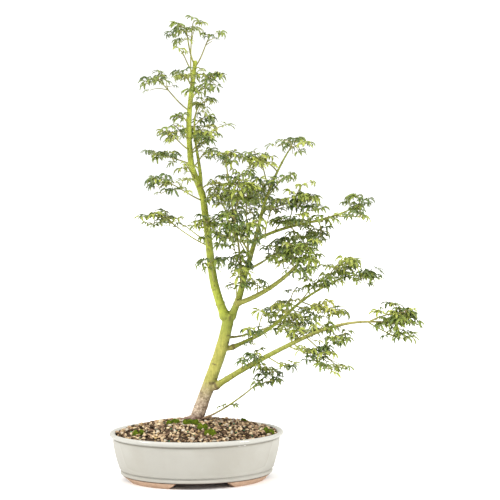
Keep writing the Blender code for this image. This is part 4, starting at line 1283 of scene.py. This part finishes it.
leaf_shapes = shape_store("leaf", [leaf_mesh(*kind) for kind in LEAF_KINDS])

# %% [markdown]
# ## Growth
#
# The rule is the one that the solids follow, carried further. Each mass of foliage keeps to an
# egg-shaped space. One stem leaves the limb and climbs into it, twigs part from the stem by the
# golden angle, and along each twig the leaves stand in opposite pairs on thin stalks. A leaf that
# would leave its space, sit on another or cut through a limb is skipped.

# %% Masses
# name, limb, share of the limb's length where the stem leaves it, reach from there to the middle
# of the mass, half sizes of its space (mm), leaves before LEAF_GAIN
MASSES = (
    ("crown_tip_left", "leader", 0.99, (-20, -2, 53), (36, 32, 26), 5.4),
    ("crown_tip_right", "leader", 0.98, (30, -6, 50), (26, 22, 14), 1.8),
    ("leader_high_left", "leader", 0.81, (-57, -4, 49), (41, 26, 22), 5),
    ("leader_high_right", "leader", 0.88, (33, 7, 24), (30, 26, 24), 6),
    ("leader_high_front", "leader", 0.90, (-12, -26, 14), (30, 26, 18), 5),
    ("twin_back", "twin_shoot", 0.80, (8, 30, -4), (36, 26, 24), 7),
    ("twin_tip", "twin_shoot", 1.0, (13, 3, 18), (27, 28, 27), 7),
    ("leader_mid_left", "leader", 0.66, (-38, -31, 26), (29, 24, 18), 5),
    ("twin_right", "twin_shoot", 0.59, (19, -18, 13), (23, 24, 20), 4.6),
    ("leader_left_pair", "leader", 0.61, (-46, 21, 13), (42, 26, 19), 5),
    ("leader_low_left", "leader", 0.47, (-61, -31, 28), (50, 26, 23), 5.8),
    ("leader_lowest_left", "leader", 0.30, (-86, 23, 48), (46, 26, 22), 6.5),
    ("leader_front", "leader", 0.35, (-6, -47, 17), (25, 22, 23), 5),
    ("leader_right", "leader", 0.51, (23, -33, 10), (20, 18, 16), 4),
    ("crown_left", "inner_shoot", 1.0, (1, 0, 23), (30, 28, 23), 4.6),
    ("crown_peak", "right_stem", 1.0, (4, 0, 8), (44, 30, 21), 4.8),
    ("crown_upper", "right_stem", 0.87, (-35, 3, 20), (35, 32, 24), 6.2),
    ("crown_mid_left", "inner_shoot", 0.77, (-17, 11, 5), (27, 30, 32), 7),
    ("crown_mid_front", "inner_shoot", 0.66, (9, -41, 36), (34, 28, 32), 9),
    ("crown_mid_right", "right_stem", 0.80, (-16, -18, -6), (31, 28, 25), 8),
    ("crown_back", "bough_back_high", 1.0, (2, 15, 31), (52, 34, 48), 12),
    ("crown_low_front", "bough_front", 1.0, (-8, -19, 14), (50, 32, 32), 12),
    ("stem_tuft", "right_stem", 0.28, (-14, -33, 24), (25, 22, 27), 5),
    ("right_fan", "right_stem", 0.64, (64, -55, 19), (34, 28, 20), 8),
    ("upper_inner", "bough_upper", 0.31, (10, -36, 13), (36, 28, 18), 7),
    ("upper_outer", "bough_upper", 0.68, (4, 21, -29), (29, 28, 27), 7),
    ("upper_tip", "bough_upper", 1.0, (20, -3, 9), (31, 30, 29), 7.2),
    ("middle_tip", "bough_middle", 1.0, (6, -6, 21), (42, 34, 32), 11),
    ("middle_back", "right_stem", 0.31, (72, 24, 34), (44, 32, 31), 10),
    ("lower_inner", "bough_lower", 0.23, (-7, -16, 4), (25, 24, 25), 6),
    ("lower_mid", "bough_lower", 0.48, (-6, -38, 20), (36, 26, 23), 4),
    ("lower_outer", "bough_lower", 0.58, (44, -31, -3), (43, 28, 22), 4.6),
    ("lower_high", "bough_lower", 0.84, (24, -6, 26), (42, 30, 28), 7.2),
    ("lower_tip", "bough_lower", 1.0, (38, 10, 2), (36, 28, 24), 5.8),
    ("lowest_inner", "bough_lowest", 0.28, (-3, -10, 10), (29, 24, 20), 5),
    ("lowest_upper", "bough_lowest", 0.49, (29, 5, 19), (47, 28, 22), 5),
    ("lowest_hanging", "bough_lowest", 0.48, (46, -37, -10), (48, 30, 28), 6.6),
    ("lowest_tip", "bough_lowest", 1.0, (24, -4, 5), (46, 32, 36), 11),
    ("basal_tip", "basal_shoot", 1.0, (12, -3, 10), (34, 24, 32), 5),
    ("back_low", "bough_back_low", 1.0, (44, 14, 9), (52, 34, 34), 11),
)
GOLDEN_ANGLE = math.radians(137.5)
LEAF_GAIN = 4.5
HANG, DEEPEN = 0.8, 1.15  # leaves hang below their twigs: mm, and share of the space's height
LEAF_ROOM = (17, 17, 6)  # mm that a twig ends inside its space
SPACE_LIMIT = 1.22
SPRAY_SLACK = 1.4  # a small spray may overrun its space by this
LEAF_CLEARANCE, BARK_CLEARANCE = 5.0 * MM, 4.0 * MM  # of a leaf's middle from another and from bark


class Space:
    """The egg-shaped room that one mass keeps to."""

    def __init__(self, centre, half, slack):
        self.centre, self.half, self.slack = centre, half, slack

    def share(self, point):
        away = point - self.centre
        return math.sqrt(sum((away[i] / self.half[i]) ** 2 for i in range(3))) / self.slack

    def towards(self, direction):
        inner = [max(0.2 * h, h - room * MM) for h, room in zip(self.half, LEAF_ROOM)]
        direction = direction.normalized()
        return self.centre + Vector(direction[i] * inner[i] for i in range(3))


def bezier(a, b, c, d, count):
    steps = [i / (count - 1) for i in range(count)]
    return [a * (1 - t) ** 3 + b * 3 * t * (1 - t) ** 2 + c * 3 * t * t * (1 - t) + d * t**3 for t in steps]


def heading_at(path, index):
    return (path[min(index + 1, len(path) - 1)] - path[max(index - 1, 0)]).normalized()


skin_tree = BVHTree.FromPolygons([v.co for v in skin.vertices], [tuple(p.vertices) for p in skin.polygons])


class Growth:
    """What has grown so far: tubes of twigs and stalks, and rows of leaves by tint."""

    def __init__(self):
        self.twigs, self.stalks, self.middles = [], [], []
        self.leaves = {}

    def crowded(self, middle):
        return any((middle - other).length < LEAF_CLEARANCE for other in self.middles)


# %% One leaf on its stalk
STALK_LENGTH = (7, 14)  # mm
STALK_RADII = (0.42, 0.33, 0.36)  # mm, at the twig, between and at the leaf
TINTS = ("deep", "mid", "fresh", "lime")


def grow_leaf(growth, rng, node, outward, space, tint, size):
    """A stalk that lifts and a blade that tips over at its end."""
    level = Vector((outward.x, outward.y, 0.25 * outward.z)).normalized()
    length = rng.uniform(*STALK_LENGTH) * size * MM
    lift = rng.uniform(-0.15, 0.5)
    joint = node + (level + Z_AXIS * lift).normalized() * length
    pitch, roll = math.radians(rng.uniform(-4, 34)), rng.uniform(-0.4, 0.4)
    forward = (level * math.cos(pitch) - Z_AXIS * math.sin(pitch)).normalized()
    side = forward.cross(Z_AXIS).normalized()
    side = (side * math.cos(roll) + Z_AXIS * math.sin(roll)).normalized()
    normal = side.cross(forward).normalized()
    side = forward.cross(normal)
    blade = LEAF_LENGTH * size * MM
    middle = joint + forward * blade * 0.4 - normal * blade * 0.1
    tip = joint + forward * blade * 0.85 - normal * blade * 0.45
    if space.share(tip) > SPACE_LIMIT or growth.crowded(middle):
        return False
    if skin_tree.find_nearest(middle)[3] < BARK_CLEARANCE:
        return False
    turn = Matrix((side, forward, normal)).transposed().to_quaternion()
    growth.leaves.setdefault(tint, []).append((joint, turn, blade, rng.randrange(len(LEAF_KINDS))))
    growth.middles.append(middle)
    bow = node.lerp(joint, 0.5) + Z_AXIS * 0.12 * length
    growth.stalks.append(([node, bow, joint], [radius * MM for radius in STALK_RADII]))
    return True


# %% One mass
MASS_SEED = 1000
STEM_FOOT, STEM_TIP, TWIG_FOOT, TWIG_TAPER = 1.35, 0.8, 0.85, 0.05  # radii, mm, and loss a step
STOUT_STEMS = {"middle_back": 2.0, "crown_tip_left": 1.2, "right_fan": 1.2}  # times as thick
LEAVES_ON_TWIG = 4.6
SPRAY_SHARE = 0.65  # of a twig's leaves share its main tint
PAIR_SPACING = 9.5  # mm
FIRST_TURNS, EVEN_TURNS, ODD_TURNS = (4, 62, -62), (58, -58), (96, -96)  # degrees off the twig
LEAF_SIZES = (0.6, 0.78, 0.9, 1.0, 1.0, 1.1, 1.2)
# shares of the tints from deep to lime
TINT_MIXES = ((4, 5, 3, 0), (4, 5, 3, 0.1), (3, 5, 4, 0.2), (2, 4, 5, 0.3), (5, 5, 2, 0), (3, 4, 5, 0.2))
PALE_MIX = (1, 3, 4, 2)
PALE = ("lower_mid", "lower_outer", "crown_upper")  # masses of young, pale leaves


def stem_curve(limb, share, space):
    axis, along = limb.at(share), limb.along(share)
    away = space.centre - axis
    if share >= 1.0:
        root, leave = axis - along * MM, along
    else:
        climb = away.dot(along)
        across = away - along * climb
        steepness = min(max(0.5, 0.8 * climb / across.length), 2)
        leave = (across.normalized() + along * steepness).normalized()
        root = axis + across.normalized() * (limb.radius(share) * 0.6)
    tip = space.centre + (space.centre - root).normalized() * min(space.half) * 0.45
    span = (tip - root).length
    level = Vector((away.x, away.y, 0)).normalized()
    return bezier(root, root + leave * 0.42 * span, tip - level * 0.2 * span, tip, 11)


def twig_curve(stem, index, target, rng):
    start, heading = stem[index], heading_at(stem, index)
    span = (target - start).length
    first = start + (heading * 0.5 + (target - start).normalized()).normalized() * 0.4 * span
    last = target + Z_AXIS * rng.uniform(-0.02, 0.14) * span - (target - start).normalized() * 0.3 * span
    return bezier(start, first, last, target, 7)


def leaf_pairs(growth, rng, path, space, tint_of, budget, spacing):
    """Opposite pairs back from the end of a twig, each pair turned across the last."""
    grown, pair = 0, 0
    lengths = [(b - a).length for a, b in zip(path, path[1:])]
    back, index = 0.0, len(path) - 1
    while index > 1 and grown < budget:
        node, heading = path[index], heading_at(path, index)
        flat = Vector((heading.x, heading.y, 0.2 * heading.z)).normalized()
        turns = FIRST_TURNS if pair == 0 else ODD_TURNS if pair % 2 else EVEN_TURNS
        for turn in turns:
            swing = math.radians(turn + rng.uniform(-18, 18))
            outward = Matrix.Rotation(swing, 3, "Z") @ flat
            size = rng.choice(LEAF_SIZES) * rng.uniform(0.92, 1.08)
            if grown < budget and grow_leaf(growth, rng, node, outward, space, tint_of(), size):
                grown += 1
        target = back + spacing * rng.uniform(0.8, 1.3) * MM
        while index > 1 and back < target:
            index -= 1
            back += lengths[index]
        pair += 1
    return grown


def grow_mass(growth, number, row):
    """A stem, its twigs and their leaves. The row of a small spray goes by its limb's own name."""
    name, limb_name, share, reach, half, solid_leaves = row
    rng = random.Random(MASS_SEED + number)
    limb = limbs[limb_name]
    slack = SPRAY_SLACK if name in limbs else 1.0
    space = Space(limb.at(share) + Vector(reach) * MM - Z_AXIS * HANG * MM, Vector(half) * MM, slack)
    space.half.z *= DEEPEN
    wanted = round(solid_leaves * LEAF_GAIN)
    weights = PALE_MIX if name in PALE else rng.choice(TINT_MIXES)
    stem = stem_curve(limb, share, space)
    stout = STOUT_STEMS.get(name, 1.0)
    foot = STEM_FOOT * stout
    growth.twigs.append((stem, [(foot - (foot - STEM_TIP) * i / 10) * MM for i in range(len(stem))]))
    twig_count = max(0 if wanted < 8 else 3, round(wanted / LEAVES_ON_TWIG))
    paths = [stem]
    first_turn = rng.uniform(0, 2 * math.pi)
    for j in range(twig_count):
        turn = first_turn + j * GOLDEN_ANGLE
        height = -0.85 + 1.6 * (j + 0.5) / twig_count
        flat = math.sqrt(max(0, 1 - height * height))
        target = space.towards(Vector((flat * math.cos(turn), flat * math.sin(turn), height)))
        index = 5 + round(4 * (j % 4) / 3)  # in the outer half of the stem
        twig = twig_curve(stem, index, target, rng)
        growth.twigs.append((twig, [(TWIG_FOOT - TWIG_TAPER * i) * MM for i in range(len(twig))]))
        paths.append(twig)
    total = 0
    for k, path in enumerate(paths):
        budget = max(2, round((wanted - total) / (len(paths) - k) + 0.5))
        main = rng.choices(TINTS, weights)[0]

        def tint_of():
            return main if rng.random() < SPRAY_SHARE else rng.choices(TINTS, weights)[0]

        total += leaf_pairs(growth, rng, path, space, tint_of, min(budget, wanted - total), PAIR_SPACING)
    return total


# %% Small sprays between the masses
# limb, middle of the spray (mm across, away and up, turned with the view), half sizes, leaves
SPRAYS = (
    ("leader", (-28, 8, 769), (18, 16, 11), 3), ("leader", (-5, 0, 817), (24, 20, 11), 4),
    ("leader", (10, 0, 704), (24, 20, 15), 6), ("leader", (-6, -18, 696), (20, 18, 14), 5),
    ("leader", (-22, 5, 651), (20, 18, 12), 6), ("leader", (-38, -6, 636), (18, 16, 11), 4),
    ("leader", (42, -5, 633), (20, 18, 11), 2), ("leader", (10, 35, 651), (20, 18, 13), 5),
    ("leader", (8, -10, 612), (18, 16, 18), 6), ("leader", (14, 12, 587), (24, 18, 13), 9),
    ("leader", (-16, -14, 563), (18, 17, 15), 6), ("right_stem", (72, -30, 352), (20, 18, 13), 5),
    ("inner_shoot", (78, -30, 546), (34, 25, 16), 7), ("inner_shoot", (58, -5, 546), (18, 16, 14), 3),
    ("right_stem", (116, 10, 567), (25, 22, 17), 6), ("right_stem", (156, -20, 543), (26, 18, 12), 6),
    ("bough_upper", (196, 10, 530), (18, 16, 11), 2), ("right_stem", (145, 15, 500), (24, 20, 13), 6),
    ("bough_upper", (200, -10, 486), (34, 25, 15), 11), ("bough_upper", (136, -12, 484), (20, 18, 12), 5),
    ("bough_upper", (152, -16, 464), (24, 20, 12), 6),
    ("bough_upper", (222, 25, 465), (20, 18, 14), 5), ("bough_upper", (186, 5, 442), (28, 22, 15), 9),
    ("bough_upper", (236, -20, 474), (26, 20, 11), 5), ("right_stem", (60, -30, 432), (30, 25, 17), 10),
    ("right_stem", (50, -30, 472), (28, 22, 13), 8), ("leader", (16, -24, 450), (22, 18, 22), 9),
    ("leader", (26, -42, 392), (26, 18, 16), 9), ("right_stem", (82, -28, 376), (24, 20, 20), 9),
    ("bough_middle", (110, -24, 352), (23, 19, 13), 8), ("bough_middle", (172, -50, 394), (40, 30, 19), 14),
    ("bough_middle", (182, -55, 380), (26, 22, 13), 7), ("bough_lower", (264, 0, 393), (28, 22, 11), 6),
    ("bough_lower", (218, -10, 354), (31, 22, 16), 12),
    ("bough_lower", (178, 5, 340), (17, 15, 11), 3), ("bough_lower", (120, 0, 297), (20, 17, 11), 4),
    ("bough_lower", (252, 20, 300), (24, 18, 13), 6), ("bough_lowest", (222, -40, 277), (28, 20, 13), 6),
    ("bough_lowest", (255, -52, 262), (26, 20, 14), 9), ("bough_lowest", (237, -60, 210), (28, 20, 13), 8),
    ("bough_lowest", (259, -57, 211), (20, 18, 12), 4),
    ("bough_lowest", (162, -20, 208), (20, 18, 14), 6), ("bough_lowest", (84, -20, 214), (18, 16, 11), 4),
    ("basal_shoot", (132, -8, 178), (24, 18, 14), 4), ("bough_lowest", (316, -56, 294), (20, 17, 11), 4),
    ("bough_lowest", (362, -58, 306), (22, 18, 12), 6), ("bough_lowest", (362, -52, 264), (26, 20, 14), 7),
    ("bough_upper", (284, -35, 476), (24, 20, 11), 5), ("basal_shoot", (56, 0, 132), (17, 15, 10), 2),
    ("leader", (-26, 20, 458), (18, 16, 10), 3),
)


def spray_row(limb_name, middle, half, leaves):
    """The row of a mass for a spray: its stem leaves the limb a little below the nearest place."""
    limb, centre = limbs[limb_name], turned_spot(*middle)
    steps = [i / 60 for i in range(3, 61)]
    nearest = min(steps, key=lambda t: (limb.at(t) - centre).length)
    share = max(0.03, nearest - 0.7 * (limb.at(nearest) - centre).length / limb.length)
    reach = (centre - limb.at(share)) / MM
    return limb_name, limb_name, share, reach, half, leaves / LEAF_GAIN


# %% Grow the crown
growth = Growth()
rows = [*MASSES, *(spray_row(*spray) for spray in SPRAYS)]
for number, row in enumerate(rows):
    grown = grow_mass(growth, number, row)
    if grown < 0.7 * row[-1] * LEAF_GAIN:
        print(f"{row[0]} {number}: only {grown} leaves of {row[-1] * LEAF_GAIN:.0f}")
print(sum(len(rows) for rows in growth.leaves.values()), "leaves,", len(growth.twigs), "twigs")

# %% [markdown]
# The leaves are joined by tint, one piece for each. A tint is a plain colour dealt out leaf by
# leaf within a mass, with a faint mottle. The underside of a leaf is paler.

# %% Leaf colours and pieces
LEAF_COLOURS = {  # light, dark
    "deep": ((0.100, 0.158, 0.030), (0.036, 0.068, 0.012)),
    "mid": ((0.205, 0.262, 0.030), (0.095, 0.140, 0.012)),
    "fresh": ((0.38, 0.42, 0.070), (0.22, 0.27, 0.032)),
    "lime": ((0.54, 0.54, 0.13), (0.38, 0.40, 0.075)),
}


def leaf_material(tint, light, dark):
    material, tree, shader = new_material("leaf_" + tint, roughness=0.42)
    near_rib = fade(tree, attribute(tree, "rib"), 0.55, 1.0, 0.0, 0.55)
    rib_colour, under_colour = (
        [own * a + (1 - own) * b for a, b in zip(light, other)]
        for own, other in ((0.5, (0.55, 0.58, 0.20)), (0.55, (0.26, 0.30, 0.12)))
    )
    upper = mix(tree, near_rib, two_tones(tree, light, dark, 7.0), rib_colour)
    under = tree.nodes.new("ShaderNodeNewGeometry").outputs["Backfacing"]
    coat(tree, shader, mix(tree, under, upper, under_colour), bump=(1.8, 0.9, 0.8), specular=0.4)
    return material


mass_names = [row[0] for row in MASSES]
for tint in TINTS:
    leaves = run_tree(
        "leaves_" + tint, points_with(growth.leaves[tint]), copies_tree,
        {"Shapes": leaf_shapes, "Material": leaf_material(tint, *LEAF_COLOURS[tint])},
    )
    finish_piece(leaves, "foliage", *(mass_names if tint == "mid" else ()))

# %% Twigs and stalks
TWIG_SIDES, STALK_SIDES = 8, 5
stalk_green = mottled_material("leaf_stalk", 0.5, (0.33, 0.31, 0.09), (0.34, 0.16, 0.095), 30.0)
twig_skin = {"Sides": TWIG_SIDES, "Material": green_shoot}
stalk_skin = {"Sides": STALK_SIDES, "Material": stalk_green}
twigs = run_tree("twigs", curves_from(growth.twigs), tubes_tree, twig_skin)
stalks = run_tree("leaf_stalks", curves_from(growth.stalks), tubes_tree, stalk_skin)
for piece in (twigs, stalks):
    piece.data.shade_smooth()
    finish_piece(piece, "foliage")

# %% [markdown]
# ## Stage and light
#
# The tree stands on a plain white floor in a white studio. The sky is bright overhead and dimmer
# at the horizon, as under a large soft box. A broad sun from the left and a weaker one from the
# right model the trunk and put a highlight on each side of the pot's lip.

# %% Floor
FLOOR_RADIUS = 25  # metres
floor_white, tree, shader = new_material("floor_white", 0.9, (0.95, 0.95, 0.95))
shader.inputs["Specular IOR Level"].default_value = 0.1
shape = bmesh.new()
bmesh.ops.create_circle(shape, cap_ends=True, radius=FLOOR_RADIUS, segments=96)
floor = new_object("floor", mesh_from(shape, "floor"))
floor.data.materials.append(floor_white)

# %% Lamps and world
LAMPS = (  # name, direction that it shines from (turned with the view), width (degrees), strength, colour
    ("key", (-1.7, -0.85, 1.5), 14, 2.2, (1.0, 0.985, 0.95)),
    ("fill", (1.8, -0.86, 1.2), 12, 2.2, (1.0, 0.99, 0.97)),
)
for name, where, width, strength, colour in LAMPS:
    lamp = bpy.data.lights.new(name, "SUN")
    lamp.energy, lamp.color, lamp.angle = strength, colour, math.radians(width)
    obj = new_object(name + "_lamp", lamp)
    obj.location = turned_spot(*(1000 * w for w in where))
    obj.rotation_euler = (turned_spot(0, 0, 0) - obj.location).to_track_quat("-Z", "Y").to_euler()

HORIZON_LIGHT, ZENITH_LIGHT, SIDE_LIGHT, BACKDROP = 0.25, 1.45, 0.6, 1.2
world = bpy.data.worlds.new("studio")
bpy.context.scene.world = world
world.use_nodes = True
tree = world.node_tree
background = tree.nodes["Background"]
background.inputs["Color"].default_value = (1, 1, 1, 1)
way = add_node(tree, "ShaderNodeSeparateXYZ", _0=tree.nodes.new("ShaderNodeTexCoord").outputs["Generated"])
across, _, up = way.outputs
sky = fade(tree, up, 0.0, 1.0, HORIZON_LIGHT, ZENITH_LIGHT)
boxes = calc(tree, "MULTIPLY_ADD", calc(tree, "MULTIPLY", across, across), SIDE_LIGHT, sky)
seen = add_node(tree, "ShaderNodeLightPath").outputs["Is Camera Ray"]
strength = add_node(tree, "ShaderNodeMix", _0=seen, _2=boxes, _3=BACKDROP)
tree.links.new(strength.outputs[0], background.inputs["Strength"])
bpy.context.scene.view_settings.view_transform = "Standard"
